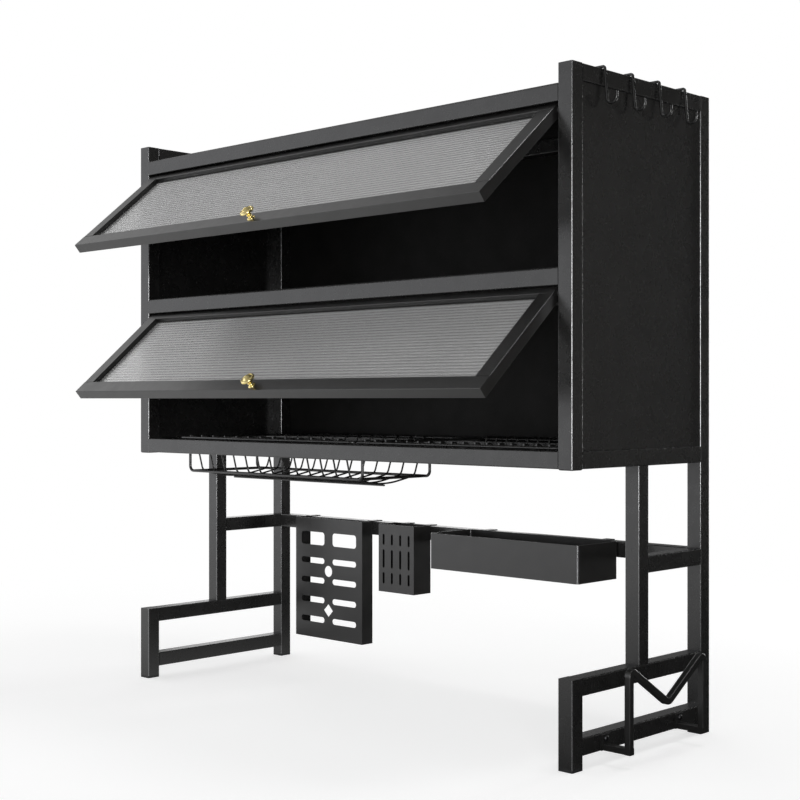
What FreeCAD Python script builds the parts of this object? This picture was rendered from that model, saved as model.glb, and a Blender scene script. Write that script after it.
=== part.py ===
import FreeCAD, Part
import math
import os
import re
from FreeCAD import Placement, Rotation, Vector

doc = FreeCAD.newDocument("DishRack")

# Driving sizes, in millimetres and degrees. X runs along the rack, Y from front to back, Z up;
# the origin is on the counter, midway between the four feet.
SIZES = {
    "FrameWidth": 1000,
    "FrameDepth": 350,
    "TubeSize": 25,
    "TubeWall": 1,
    "TubeCorner": 2,
    "CabinetBase": 418,
    "OpeningHeight": 230.5,
    "GuardRise": 28,
    "CapHeight": 4,
    "CapPlug": 12,
    "PlugGap": 0.3,
    "LowerBarHeight": 20,
    "UpperBarHeight": 103,
    "MidPostSetback": 160,
    "HangRailHeight": 260.5,
    "SheetWall": 1,
    "CabinetSheet": 0.8,
    "SheetInset": 2,
    "SheetGap": 0.3,
    "PanelRecess": 2,
    "PanelFlange": 12,
    "PanelEdge": 0.6,
    "BackMargin": 10,
    "ShelfLip": 12,
    "DoorSideGap": 4,
    "DoorThickness": 17,
    "DoorTopGap": 6.5,
    "DoorBottomGap": 4.5,
    "HingeInset": 9.5,
    "HingeDrop": 4,
    "StileWidth": 25,
    "TopMemberHeight": 15,
    "BottomMemberHeight": 26,
    "DoorEdge": 1,
    "DoorNose": 3,
    "GrooveDepth": 8,
    "GrooveWidth": 6,
    "GrooveSetback": 7.5,
    "GasketWall": 1,
    "FlutePitch": 6.67,
    "FluteHeight": 0.8,
    "OpenAngleUpper": 50,
    "OpenAngleLower": 49.2,
    "PinDiameter": 5,
    "PinGrip": 16,
    "PressGap": 0.04,
    "RunningGap": 0.08,
    "BushShank": 9,
    "BushLength": 10,
    "BushFlange": 12,
    "BushGap": 0.6,
    "KnobHeight": 11,
    "KnobHead": 24,
    "KnobHeadLength": 10,
    "KnobStem": 7.5,
    "KnobBase": 13.5,
    "KnobBaseLength": 2.5,
    "KnobLength": 20,
    "KnobStud": 4,
    "KnobStudLength": 10,
    "KnobStudEnd": 1,
    "KnobSoft": 0.8,
    "HookWire": 4.5,
    "HookFirst": 72,
    "HookPitch": 68,
    "HookInnerLeg": 16,
    "HookDrop": 42,
    "HookLean": 4.5,
    "HookTopBend": 3.5,
    "HookBend": 8,
    "HookTip": 7,
    "RimWire": 5,
    "CrossWire": 3,
    "WireGap": 0.3,
    "WireTouch": 0.05,
    "RimFrontRest": 3,
    "RimRearRest": 10,
    "RimCrossStart": 7,
    "BasketPlace": 67,
    "BasketWidth": 451,
    "BasketSink": 72,
    "BasketSag": 200,
    "LoopSink": 58,
    "LoopFront": 45,
    "LoopRear": 205,
    "LoopEnd": 12,
    "BasketMiddle": 228,
    "BasketPitch": 32,
    "LoopBend": 9,
    "CrossBend": 14,
    "CrossTopBend": 4,
    "RackGap": 7,
    "RackEnd": 8,
    "PlateSink": 17,
    "PlateStep": 6,
    "PlatePitch": 23,
    "HolderBar": 10,
    "HolderEdge": 1.5,
    "HolderReach": 42,
    "HolderFront": 75,
    "HolderRear": 262,
    "HolderTop": 139,
    "HolderValley": 79.3,
    "HolderTopBend": 6,
    "HolderValleyBend": 12,
    "PlateSize": 22,
    "PlateWall": 3,
    "BoltDiameter": 5,
    "BoltHead": 9,
    "BoltHeadHeight": 3,
    "BoltLength": 12,
    "BoltHeight": 37,
    "KnifePlace": 75.5,
    "KnifeWidth": 184.5,
    "KnifeDepth": 27.5,
    "KnifeRise": 0.5,
    "KnifeHeight": 230,
    "KnifeFlange": 12,
    "KnifeSlotWidth": 65,
    "KnifeSlotHeight": 11,
    "KnifeTopSlot": 25,
    "KnifeTopSlotCorner": 6,
    "KnifeColumnGap": 22,
    "KnifeTopRow": 39,
    "KnifeSecondRow": 81.5,
    "KnifeRowPitch": 37.8,
    "KnifeHole": 21,
    "KnifeHoleDrop": 100,
    "KnifeDiamond": 12.5,
    "KnifeDiamondDrop": 175,
    "StickPlace": 320.5,
    "StickWidth": 88.5,
    "StickDepth": 44.2,
    "StickRise": 2,
    "StickHeight": 123,
    "StickSlotWidth": 5,
    "StickSlotPitch": 21,
    "StickTopSlot": 20,
    "StickMiddleSlot": 33.5,
    "StickLowSlot": 20.5,
    "StickSlotTop": 17.5,
    "StickSlotGap": 8.3,
    "DrainMargin": 10,
    "TrayPlace": 130.3,
    "TrayWidth": 314.7,
    "TrayDepth": 105,
    "TrayRise": 1,
    "TrayHeight": 60.5,
    "TrayCorner": 4,
    "TrayDrain": 5,
    "TrayDrainPitch": 35,
    "TabDrop": 15,
    "TabWidth": 16,
    "TabInset": 8,
    "TabRoot": 4,
    "RailGap": 0.3,
    "RoundGap": 0.02,
}

# Sizes that follow from the ones above.
DERIVED = {
    "PostX": "FrameWidth / 2 - TubeSize / 2",
    "FrontY": "TubeSize / 2 - FrameDepth / 2",
    "RearY": "FrameDepth / 2 - TubeSize / 2",
    "InnerWidth": "FrameWidth - 2 * TubeSize",
    "InnerDepth": "FrameDepth - 2 * TubeSize",
    "LowFloor": "CabinetBase + TubeSize",
    "MidRailZ": "LowFloor + OpeningHeight",
    "TopRailZ": "MidRailZ + TubeSize + OpeningHeight",
    "FrameTop": "TopRailZ + TubeSize + GuardRise",
    "HingeY": "HingeInset - FrameDepth / 2",
    "HingeRise": "DoorTopGap + HingeDrop",
    "DoorWidth": "InnerWidth - 2 * DoorSideGap",
    "DoorHeight": "OpeningHeight - DoorTopGap - DoorBottomGap",
    "StileLength": "DoorHeight - TopMemberHeight - BottomMemberHeight",
    "LightWidth": "DoorWidth - 2 * StileWidth",
    "GlassThickness": "GrooveWidth - 2 * GasketWall",
    "KnobStemLength": "KnobLength - KnobBaseLength - KnobHeadLength",
    "RimFront": "TubeSize - RimFrontRest",
    "RimRear": "FrameDepth - RimRearRest",
    "CrossFront": "TubeSize + RimCrossStart",
    "CrossRear": "FrameDepth - TubeSize - RimCrossStart",
    "BasketLeft": "BasketPlace - InnerWidth / 2",
    "BasketRight": "BasketLeft + BasketWidth",
    "BasketFloor": "LowFloor - BasketSink",
    "LoopHeight": "LowFloor - LoopSink",
    "PlateLeft": "BasketRight + RackGap",
    "PlateRight": "InnerWidth / 2 - RackEnd",
    "PlateFloor": "LowFloor - PlateSink",
    "HangRailTop": "HangRailHeight + TubeSize",
    "KnifeLeft": "KnifePlace - InnerWidth / 2",
    "StickLeft": "StickPlace - InnerWidth / 2",
    "TrayLeft": "InnerWidth / 2 - TrayPlace - TrayWidth",
    "KnifeTop": "HangRailTop + KnifeRise",
    "StickTop": "HangRailTop + StickRise",
    "TrayTop": "HangRailTop + TrayRise",
    "AccessoryBack": "FrameDepth - TubeSize - RailGap",
}

sheet = doc.addObject("Spreadsheet::Sheet", "Dims")
for row, (alias, size) in enumerate({**SIZES, **DERIVED}.items(), 1):
    sheet.set(f"A{row}", alias)
    sheet.set(f"B{row}", f"={size}" if alias in DERIVED else str(size))
    sheet.setAlias(f"B{row}", alias)
doc.recompute()


def mm(formula):
    """Value of a formula written in the names of the size table."""
    result = sheet.evalExpression(str(formula))
    return float(getattr(result, "Value", result))


def tied(formula):
    """The same formula, ready to drive a property of an object."""
    return re.sub(r"\b([A-Z]\w+)", r"Dims.\1", str(formula))


def drive(item, **formulas):
    """Tie properties of an object to formulas; a double underscore stands for a dot."""
    for name, formula in formulas.items():
        item.setExpression(name.replace("__", "."), tied(formula))
    return item


def put(item, x="0", y="0", z="0"):
    """Place an object by formulas."""
    return drive(item, Placement__Base__x=x, Placement__Base__y=y, Placement__Base__z=z)


# Building blocks: a body made of padded and pocketed profiles

TURN = {
    "X": Rotation(Vector(0, 1, 0), 90),
    "Y": Rotation(Vector(1, 0, 0), -90),
    "Z": Rotation(),
}


class Piece:
    """One physical piece built from profiles on the base planes of its own body."""

    def __init__(self, name):
        self.name = name
        self.steps = 0
        self.body = doc.addObject("PartDesign::Body", name)
        self.body.Label = name

    def _add(self, kind, suffix):
        self.steps += 1
        return self.body.newObject(kind, f"{self.name}_{suffix}_{self.steps}")

    def _sketch(self, plane, x, y, z):
        sketch = self._add("Sketcher::SketchObject", "profile")
        base = next(item for item in self.body.Origin.OriginFeatures if item.Role == plane)
        sketch.AttachmentSupport = (base, [""])
        sketch.MapMode = "FlatFace"
        drive(
            sketch,
            AttachmentOffset__Base__x=x,
            AttachmentOffset__Base__y=y,
            AttachmentOffset__Base__z=z,
        )
        return sketch

    def rectangle(self, plane, width, height, x="0", y="0", z="0"):
        """Rectangle whose first corner is at x, y of the plane, lifted z off it."""
        sketch = self._sketch(plane, x, y, z)
        corners = [Vector(0, 0), Vector(mm(width), 0), Vector(mm(width), mm(height)), Vector(0, mm(height))]
        for side in range(4):
            sketch.addGeometry(Part.LineSegment(corners[side], corners[(side + 1) % 4]), False)
        for side in range(4):
            sketch.addConstraint(_constraint("Coincident", side, 2, (side + 1) % 4, 1))
        for side, kind in enumerate(("Horizontal", "Vertical", "Horizontal", "Vertical")):
            sketch.addConstraint(_constraint(kind, side))
        sketch.addConstraint(_constraint("Coincident", 0, 1, -1, 1))
        for kind, side, formula in (("DistanceX", 0, width), ("DistanceY", 1, height)):
            number = sketch.addConstraint(_constraint(kind, side, 1, side, 2, mm(formula)))
            sketch.setExpression(f"Constraints[{number}]", tied(formula))
        return sketch

    def circle(self, plane, diameter, x="0", y="0", z="0"):
        """Circle about x, y of the plane, lifted z off it."""
        sketch = self._sketch(plane, x, y, z)
        sketch.addGeometry(Part.Circle(Vector(0, 0), Vector(0, 0, 1), mm(diameter) / 2), False)
        sketch.addConstraint(_constraint("Coincident", 0, 3, -1, 1))
        number = sketch.addConstraint(_constraint("Diameter", 0, mm(diameter)))
        sketch.setExpression(f"Constraints[{number}]", tied(diameter))
        return sketch

    def pad(self, profile, length, back=False):
        """Add material from the profile along its normal, or back from it."""
        step = self._add("PartDesign::Pad", "pad")
        step.Profile = profile
        drive(step, Length=length)
        step.Reversed = back
        doc.recompute()
        return self

    def pocket(self, profile, length, ahead=False):
        """Take material away behind the profile, or ahead of it along its normal."""
        before = self.body.Shape.Volume
        step = self._add("PartDesign::Pocket", "pocket")
        step.Profile = profile
        drive(step, Length=length)
        step.Reversed = ahead
        doc.recompute()
        if self.body.Shape.Volume >= before:
            raise RuntimeError(f"{self.name}: a pocket takes nothing away")
        return self

    def round(self, direction, radius, where=lambda point: True):
        """Round the straight outer edges that run in one direction."""
        box = self.body.Shape.BoundBox
        names = []
        for number, edge in enumerate(self.body.Shape.Edges, 1):
            if edge.Curve.TypeId != "Part::GeomLine":
                continue
            middle = edge.valueAt((edge.FirstParameter + edge.LastParameter) / 2)
            if not edge.tangentAt(edge.FirstParameter).cross(direction).Length < 1e-6:
                continue
            if _sides(middle, box) >= 2 and where(middle):
                names.append(f"Edge{number}")
        base = self.body.Tip
        step = self._add("PartDesign::Fillet", "rounding")
        step.Base = (base, names)
        drive(step, Radius=radius)
        doc.recompute()
        return self

    def lie(self, direction):
        """Turn the body so that its own Z runs in the named direction."""
        self.body.Placement = Placement(Vector(), TURN[direction])
        return self


def _constraint(*arguments):
    import Sketcher

    return Sketcher.Constraint(*arguments)


def _sides(point, box):
    """How many outer sides of a box a point lies on."""
    limits = (
        (point.x, box.XMin, box.XMax),
        (point.y, box.YMin, box.YMax),
        (point.z, box.ZMin, box.ZMax),
    )
    return sum(min(abs(value - low), abs(value - high)) < 1e-6 for value, low, high in limits)


# Building blocks: plain solids and what is cut from or joined to them


def box(name, size, corner):
    """Box of a size from its low corner, both given as three formulas."""
    item = doc.addObject("Part::Box", name)
    drive(item, Length=size[0], Width=size[1], Height=size[2])
    return put(item, *corner)


def rod(name, diameter, length, start, along="Z"):
    """Round bar from the middle of its first end."""
    item = doc.addObject("Part::Cylinder", name)
    item.Placement = Placement(Vector(), TURN[along])
    drive(item, Radius=f"({diameter}) / 2", Height=length)
    return put(item, *start)


def joined(name, items):
    """One solid made of several that meet."""
    item = doc.addObject("Part::MultiFuse", name)
    item.Shapes = items
    return item


def carved(name, base, tools):
    """A solid with others taken away from it."""
    item = doc.addObject("Part::Cut", name)
    item.Base = base
    item.Tool = tools[0] if len(tools) == 1 else joined(f"{name}_cuts", tools)
    return item


def grouped(name, items):
    """Separate identical pieces kept under one name."""
    item = doc.addObject("Part::Compound", name)
    item.Links = items
    return item


def shaped(name, solid):
    """Piece with a free form."""
    item = doc.addObject("Part::Feature", name)
    item.Shape = solid
    return item


def bent_path(points, radii):
    """Centre line through points, with the inner corners rounded."""
    edges = []
    start = points[0]
    for number, radius in enumerate(radii, 1):
        corner = points[number]
        ahead = (corner - points[number - 1]).normalize()
        after = (points[number + 1] - corner).normalize()
        half = ahead.getAngle(after) / 2
        inward = (after - ahead).normalize()
        centre = corner + inward * (radius / math.cos(half))
        first = corner - ahead * (radius * math.tan(half))
        last = corner + after * (radius * math.tan(half))
        if (first - start).Length > 1e-6:
            edges.append(Part.makeLine(start, first))
        edges.append(Part.Arc(first, centre - inward * radius, last).toShape())
        start = last
    if (points[-1] - start).Length > 1e-6:
        edges.append(Part.makeLine(start, points[-1]))
    return Part.Wire(edges)


def bent_wire(points, radii, diameter):
    """Round wire bent along points."""
    section = Part.Circle(points[0], points[1] - points[0], diameter / 2).toShape()
    return bent_path(points, radii).makePipeShell([Part.Wire([section])], True, False)


def straight_wire(start, end, diameter):
    """Straight round wire between two points."""
    return Part.makeCylinder(diameter / 2, (end - start).Length, start, end - start)


def welded(solids):
    """Wires that run into each other, as one solid."""
    return solids[0].multiFuse(solids[1:]).removeSplitter()


made = []


def finished(item):
    """Keep an object as one named node of the rack."""
    item.Label = item.Name
    made.append(item)
    return item


# The welded frame: square tube


def tube(name, along, length, start, closed=False, holes=()):
    """Square tube from the middle of its first end; closed leaves the far end shut.

    Each hole is a diameter, its place across and along the tube, and True where it goes through the
    wall on the low side.
    """
    piece = Piece(name)
    piece.pad(piece.rectangle("XY_Plane", "TubeSize", "TubeSize", "-TubeSize / 2", "-TubeSize / 2"), length)
    piece.round(Vector(0, 0, 1), "TubeCorner")
    inner = "TubeSize - 2 * TubeWall"
    hollow = f"({length}) - TubeWall" if closed else length
    edge = f"-({inner}) / 2"
    piece.pocket(piece.rectangle("XY_Plane", inner, inner, edge, edge), hollow, True)
    for diameter, across, distance, low in holes:
        profile = piece.circle("YZ_Plane", diameter, across, distance)
        piece.pocket(profile, "TubeSize", not low)
    piece.lie(along)
    put(piece.body, *start)
    return finished(piece.body)


def frame_posts():
    """Four uprights; the front pair is as tall as the cabinet and holds the door bushes."""
    hinge_across = "HingeInset - TubeSize / 2"
    bush_hole = "BushShank + RunningGap"
    hinges = [f"{rail} - HingeRise - CabinetBase" for rail in ("MidRailZ", "TopRailZ")]
    for side, sign in (("left", "-"), ("right", "")):
        bores = [(bush_hole, hinge_across, height, side == "right") for height in hinges]
        start = (f"{sign}PostX", "FrontY", "CabinetBase")
        tube(f"post_front_{side}", "Z", "FrameTop - CabinetBase", start, True, bores)
        tube(f"post_rear_{side}", "Z", "FrameTop - CapHeight", (f"{sign}PostX", "RearY", "CapHeight"), True)


def frame_rails():
    """Rails between the posts, around the cabinet."""
    levels = {"top": "TopRailZ", "middle": "MidRailZ", "bottom": "CabinetBase"}
    for row, y in (("front", "FrontY"), ("rear", "RearY")):
        for level, height in levels.items():
            start = ("-InnerWidth / 2", y, f"{height} + TubeSize / 2")
            tube(f"rail_{row}_{level}", "X", "InnerWidth", start)
    for side, sign in (("left", "-"), ("right", "")):
        for level, height in (("top", "FrameTop - TubeSize / 2"), ("bottom", "CabinetBase + TubeSize / 2")):
            start = (f"{sign}PostX", "-InnerDepth / 2", height)
            tube(f"rail_side_{level}_{side}", "Y", "InnerDepth", start)


def stand():
    """Feet, foot bars, the posts between stand and cabinet, and the rail that accessories hang on."""
    mid_y = "MidPostSetback + TubeSize / 2 - FrameDepth / 2"
    bar_top = "UpperBarHeight + TubeSize"
    cross_start = "MidPostSetback + TubeSize - FrameDepth / 2"
    bore, drop = "BoltDiameter + 2 * RunningGap", "LowerBarHeight + TubeSize / 2 - BoltHeight"
    bolt_holes = [(bore, drop, f"{place} - TubeSize", False) for place in ("HolderFront", "HolderRear")]
    for side, sign in (("left", "-"), ("right", "")):
        x = f"{sign}PostX"
        holes = bolt_holes if side == "right" else ()
        tube(f"foot_post_{side}", "Z", f"{bar_top} - CapHeight", (x, "FrontY", "CapHeight"), True)
        tube(f"mid_post_{side}", "Z", f"CabinetBase - ({bar_top})", (x, mid_y, bar_top))
        for level, height in (("upper", "UpperBarHeight"), ("lower", "LowerBarHeight")):
            bores = holes if level == "lower" else ()
            start = (x, "-InnerDepth / 2", f"{height} + TubeSize / 2")
            tube(f"foot_bar_{level}_{side}", "Y", "InnerDepth", start, holes=bores)
        length = "FrameDepth / 2 - TubeSize - (MidPostSetback + TubeSize - FrameDepth / 2)"
        tube(f"cross_bar_{side}", "Y", length, (x, cross_start, "HangRailHeight + TubeSize / 2"))
    tube("hanging_rail", "X", "InnerWidth", ("-InnerWidth / 2", "RearY", "HangRailHeight + TubeSize / 2"))


def foot_caps():
    """Plastic caps plugged into the lower ends of the four legs."""
    plug = "TubeSize - 2 * TubeWall - 2 * PlugGap"
    caps = []
    for number, (x, y) in enumerate((x, y) for x in ("-PostX", "PostX") for y in ("FrontY", "RearY")):
        sole = Piece(f"cap_{number}")
        edge = "-TubeSize / 2"
        sole.pad(sole.rectangle("XY_Plane", "TubeSize", "TubeSize", edge, edge), "CapHeight")
        sole.round(Vector(0, 0, 1), "TubeCorner")
        half = f"-({plug}) / 2"
        sole.pad(sole.rectangle("XY_Plane", plug, plug, half, half), "CapHeight + CapPlug")
        put(sole.body, x, y)
        caps.append(sole.body)
    finished(grouped("foot_caps", caps))


# Sheet work


def side_panels():
    """Folded sheets that close the sides, slightly behind the outer face of the frame."""
    height = "FrameTop - TubeSize - LowFloor"
    for side, sign, turn in (("left", "-", 180), ("right", "", 0)):
        piece = Piece(f"panel_side_{side}")
        outline = piece.rectangle("YZ_Plane", "InnerDepth", height, "-InnerDepth / 2")
        piece.pad(outline, "PanelFlange", True)
        inner = f"{height} - 2 * CabinetSheet"
        width, edge = "InnerDepth - 2 * CabinetSheet", "CabinetSheet - InnerDepth / 2"
        hollow = piece.rectangle("YZ_Plane", width, inner, edge, "CabinetSheet", "-CabinetSheet")
        piece.pocket(hollow, "PanelFlange")
        for direction in (Vector(0, 1, 0), Vector(0, 0, 1)):
            piece.round(direction, "PanelEdge", lambda middle: abs(middle.x) < 1e-6)
        piece.body.Placement = Placement(Vector(), Rotation(Vector(0, 0, 1), turn))
        put(piece.body, f"{sign}(FrameWidth / 2 - PanelRecess)", "0", "LowFloor")
        finished(piece.body)


def back_panel():
    """Sheet spot-welded to the rear faces of the posts and rails."""
    width = "FrameWidth - 2 * BackMargin"
    height = "TopRailZ + TubeSize - CabinetBase - 2 * SheetInset"
    piece = Piece("panel_back")
    outline = piece.rectangle("XZ_Plane", width, height, f"-({width}) / 2", "CabinetBase + SheetInset")
    piece.pad(outline, "CabinetSheet", True)
    put(piece.body, "0", "FrameDepth / 2")
    finished(piece.body)


def shelves():
    """Two folded sheets lying on the front and rear rails."""
    width = "InnerWidth - 2 * SheetGap"
    depth = "FrameDepth - 2 * SheetInset"
    lip = "InnerDepth - 2 * SheetGap"
    for name, height in (("shelf_top", "TopRailZ + TubeSize"), ("shelf_middle", "MidRailZ + TubeSize")):
        piece = Piece(name)
        plate = piece.rectangle("XY_Plane", width, depth, f"-({width}) / 2", f"-({depth}) / 2")
        piece.pad(plate, "CabinetSheet")
        for edge in (f"-({width}) / 2", f"({width}) / 2 - CabinetSheet"):
            strip = piece.rectangle("XY_Plane", "CabinetSheet", lip, edge, f"-({lip}) / 2")
            piece.pad(strip, "ShelfLip", True)
        put(piece.body, "0", "0", height)
        finished(piece.body)


# Doors: drawn closed about their hinge axis, then turned open


def hang_door(item, rail, angle):
    """Place a door piece on its hinge axis under a rail, open by an angle."""
    item.Placement = Placement(Vector(), Rotation(Vector(-1, 0, 0), mm(angle)))
    drive(item, Placement__Rotation__Angle=angle)
    put(item, "0", "HingeY", f"{rail} - HingeRise")
    return finished(item)


def door_rail(name, low, height, groove_low, nose):
    """Horizontal member with a groove for the glass and rounded long edges."""
    piece = Piece(name)
    profile = piece.rectangle("YZ_Plane", "DoorThickness", height, "-HingeInset", low, "-DoorWidth / 2")
    piece.pad(profile, "DoorWidth")
    front = -mm("HingeInset")
    top = mm(low) + mm(height)
    at_nose = lambda middle: nose and abs(middle.y - front) < 1e-6 and abs(middle.z - top) < 1e-6
    piece.round(Vector(1, 0, 0), "DoorEdge", lambda middle: not at_nose(middle))
    if nose:
        piece.round(Vector(1, 0, 0), "DoorNose", at_nose)
    length = "LightWidth + 2 * GrooveDepth"
    place, start = "GrooveSetback - HingeInset", f"-({length}) / 2"
    groove = piece.rectangle("YZ_Plane", "GrooveWidth", "GrooveDepth", place, groove_low, start)
    piece.pocket(groove, length, True)
    return piece


def door_top_rail(name):
    """Top member, bored at both ends for the hinge pins."""
    low = "HingeDrop - TopMemberHeight"
    piece = door_rail(name, low, "TopMemberHeight", low, True)
    bore = "PinDiameter + PressGap"
    piece.pocket(piece.circle("YZ_Plane", bore, z="DoorWidth / 2"), "PinGrip")
    piece.pocket(piece.circle("YZ_Plane", bore, z="-DoorWidth / 2"), "PinGrip", True)
    return piece.body


def door_bottom_rail(name):
    """Bottom member, bored in front for the stud of the knob."""
    low = "HingeDrop - DoorHeight"
    piece = door_rail(name, low, "BottomMemberHeight", f"{low} + BottomMemberHeight - GrooveDepth", False)
    bore = piece.circle("XZ_Plane", "KnobStud + PressGap", "0", f"{low} + KnobHeight", "HingeInset")
    piece.pocket(bore, "KnobStudLength + KnobStudEnd")
    return piece.body


def door_stile(name, right):
    """Upright member at one end of the glass."""
    piece = Piece(name)
    sign = 1 if right else -1
    x = "DoorWidth / 2 - StileWidth" if right else "-DoorWidth / 2"
    low = "HingeDrop - DoorHeight + BottomMemberHeight"
    profile = piece.rectangle("XY_Plane", "StileWidth", "DoorThickness", x, "-HingeInset", low)
    piece.pad(profile, "StileLength")
    outer = sign * mm("DoorWidth") / 2
    piece.round(Vector(0, 0, 1), "DoorEdge", lambda middle: abs(middle.x - outer) < 1e-6)
    inner = f"{x}" if right else f"{x} + StileWidth - GrooveDepth"
    groove = piece.rectangle(
        "XY_Plane", "GrooveDepth", "GrooveWidth", inner, "GrooveSetback - HingeInset", low
    )
    piece.pocket(groove, "StileLength", True)
    return piece.body


def door_glass(name):
    """Pane with level flutes on the part that shows."""
    margin = "GrooveDepth - GasketWall"
    half = mm(f"LightWidth / 2 + {margin}")
    front = mm("GrooveSetback + GasketWall - HingeInset")
    back = front + mm("GlassThickness")
    light_top = mm("HingeDrop - TopMemberHeight")
    light_bottom = light_top - mm("StileLength")
    lip = mm("GasketWall + SheetGap")
    first = light_bottom + lip
    last = light_top - lip
    count = max(1, round((last - first) / mm("FlutePitch")))
    pitch = (last - first) / count
    side = mm("LightWidth / 2") - lip
    root = front + mm("FluteHeight") / 2
    point = lambda y, z: Vector(-side, y, z)
    edges = [Part.makeLine(point(root, first), point(front, first))]
    for number in range(count):
        low = first + number * pitch
        crest = point(front - mm("FluteHeight"), low + pitch / 2)
        edges.append(Part.Arc(point(front, low), crest, point(front, low + pitch)).toShape())
    edges.append(Part.makeLine(point(front, last), point(root, last)))
    edges.append(Part.makeLine(point(root, last), point(root, first)))
    flutes = Part.Face(Part.Wire(edges)).extrude(Vector(2 * side, 0, 0))
    corner = Vector(-half, front, light_bottom - mm(margin))
    pane = Part.makeBox(2 * half, back - front, light_top - light_bottom + 2 * mm(margin), corner)
    return shaped(name, pane.fuse(flutes).removeSplitter())


def door_gasket(name):
    """Rubber frame between the glass and the grooves."""
    low = "HingeDrop - TopMemberHeight - StileLength"
    outer = box(
        f"{name}_outer",
        ("LightWidth + 2 * GrooveDepth", "GrooveWidth", "StileLength + 2 * GrooveDepth"),
        ("-LightWidth / 2 - GrooveDepth", "GrooveSetback - HingeInset", f"{low} - GrooveDepth"),
    )
    behind = "GrooveSetback - HingeInset - GrooveWidth / 2"
    light = box(
        f"{name}_light",
        ("LightWidth - 2 * GasketWall", "2 * GrooveWidth", "StileLength - 2 * GasketWall"),
        ("-LightWidth / 2 + GasketWall", behind, f"{low} + GasketWall"),
    )
    margin = "(GrooveDepth - GasketWall)"
    pane = box(
        f"{name}_pane",
        (f"LightWidth + 2 * {margin}", "GlassThickness", f"StileLength + 2 * {margin}"),
        (f"-LightWidth / 2 - {margin}", "GrooveSetback + GasketWall - HingeInset", f"{low} - {margin}"),
    )
    return carved(name, outer, [light, pane])


def door_knob(name):
    """Turned knob with a stud that screws into the bottom member."""
    height = mm("HingeDrop - DoorHeight + KnobHeight")
    face = -mm("HingeInset")
    base = face - mm("KnobBaseLength")
    neck = base - mm("KnobStemLength")
    tip = neck - mm("KnobHeadLength")
    stud, rim, stem, head = (mm(f"{size} / 2") for size in ("KnobStud", "KnobBase", "KnobStem", "KnobHead"))
    soft = mm("KnobSoft")
    outline = [
        (0, face + mm("KnobStudLength")),
        (stud, face + mm("KnobStudLength")),
        (stud, face),
        (rim, face),
        (rim, base + soft),
        (rim - soft, base),
        (stem, base),
        (stem, neck),
        (head - 2 * soft, neck),
        (head, neck - 2 * soft),
        (head, tip + 3 * soft),
        (head - 3 * soft, tip + soft / 2),
        (0, tip),
    ]
    points = [Vector(radius, y, height) for radius, y in outline]
    profile = Part.Face(Part.makePolygon(points + [points[0]]))
    return shaped(name, profile.revolve(Vector(0, 0, height), Vector(0, 1, 0), 360))


def door_hinge_pins(name):
    """Two pins fixed in the ends of the top member."""
    length = "PinGrip + DoorSideGap + BushLength"
    right = rod(f"{name}_right", "PinDiameter", length, ("DoorWidth / 2 - PinGrip", "0", "0"), "X")
    left = rod(f"{name}_left", "PinDiameter", length, ("-InnerWidth / 2 - BushLength", "0", "0"), "X")
    return grouped(name, [left, right])


def doors():
    """Two equal flip-up doors, one to each storey."""
    for door, rail, angle in (
        ("upper", "TopRailZ", "OpenAngleUpper"),
        ("lower", "MidRailZ", "OpenAngleLower"),
    ):
        pieces = [
            door_top_rail(f"door_{door}_top_rail"),
            door_bottom_rail(f"door_{door}_bottom_rail"),
            door_stile(f"door_{door}_left_stile", False),
            door_stile(f"door_{door}_right_stile", True),
            door_glass(f"door_{door}_glass"),
            door_gasket(f"door_{door}_gasket"),
            door_knob(f"door_{door}_knob"),
            door_hinge_pins(f"door_{door}_hinge_pins"),
        ]
        for piece in pieces:
            hang_door(piece, rail, angle)


def hinge_bushes():
    """Flanged friction bushes in the inner walls of the front posts."""
    flange = "DoorSideGap - BushGap"
    bushes = []
    for side, sign, flange_x, shank_x in (
        ("left", "-", "-InnerWidth / 2", "-InnerWidth / 2 - BushLength"),
        ("right", "", f"InnerWidth / 2 - ({flange})", "InnerWidth / 2"),
    ):
        for level, rail in (("lower", "MidRailZ"), ("upper", "TopRailZ")):
            name = f"bush_{level}_{side}"
            height = f"{rail} - HingeRise"
            collar = rod(f"{name}_collar", "BushFlange", flange, (flange_x, "HingeY", height), "X")
            shank = rod(f"{name}_shank", "BushShank", "BushLength", (shank_x, "HingeY", height), "X")
            solid = joined(f"{name}_solid", [collar, shank])
            start = "-InnerWidth / 2 - BushLength" if side == "left" else f"InnerWidth / 2 - ({flange})"
            hole, length = "PinDiameter + 2 * RunningGap", f"BushLength + {flange}"
            bore = rod(f"{name}_bore", hole, length, (start, "HingeY", height), "X")
            bushes.append(carved(name, solid, [bore]))
    finished(grouped("hinge_bushes", bushes))


# Wire work


def at(x, setback, z):
    """Point by its distance along the rack, behind the front face, and height."""
    return Vector(x, setback - mm("FrameDepth") / 2, z)


def ring(x0, x1, b0, b1, z, diameter, bend):
    """Closed level wire with rounded corners."""
    middle = (x0 + x1) / 2
    corners = [at(x1, b0, z), at(x1, b1, z), at(x0, b1, z), at(x0, b0, z)]
    points = [at(middle, b0, z)] + corners + [at(middle, b0, z)]
    return bent_wire(points, [bend] * 4, diameter)


def rack_rim(x0, x1):
    """Height and wire of the rim that lies on the front and rear bottom rails."""
    height = mm("LowFloor + WireGap + RimWire / 2")
    return height, ring(x0, x1, mm("RimFront"), mm("RimRear"), height, mm("RimWire"), mm("LoopBend"))


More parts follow.
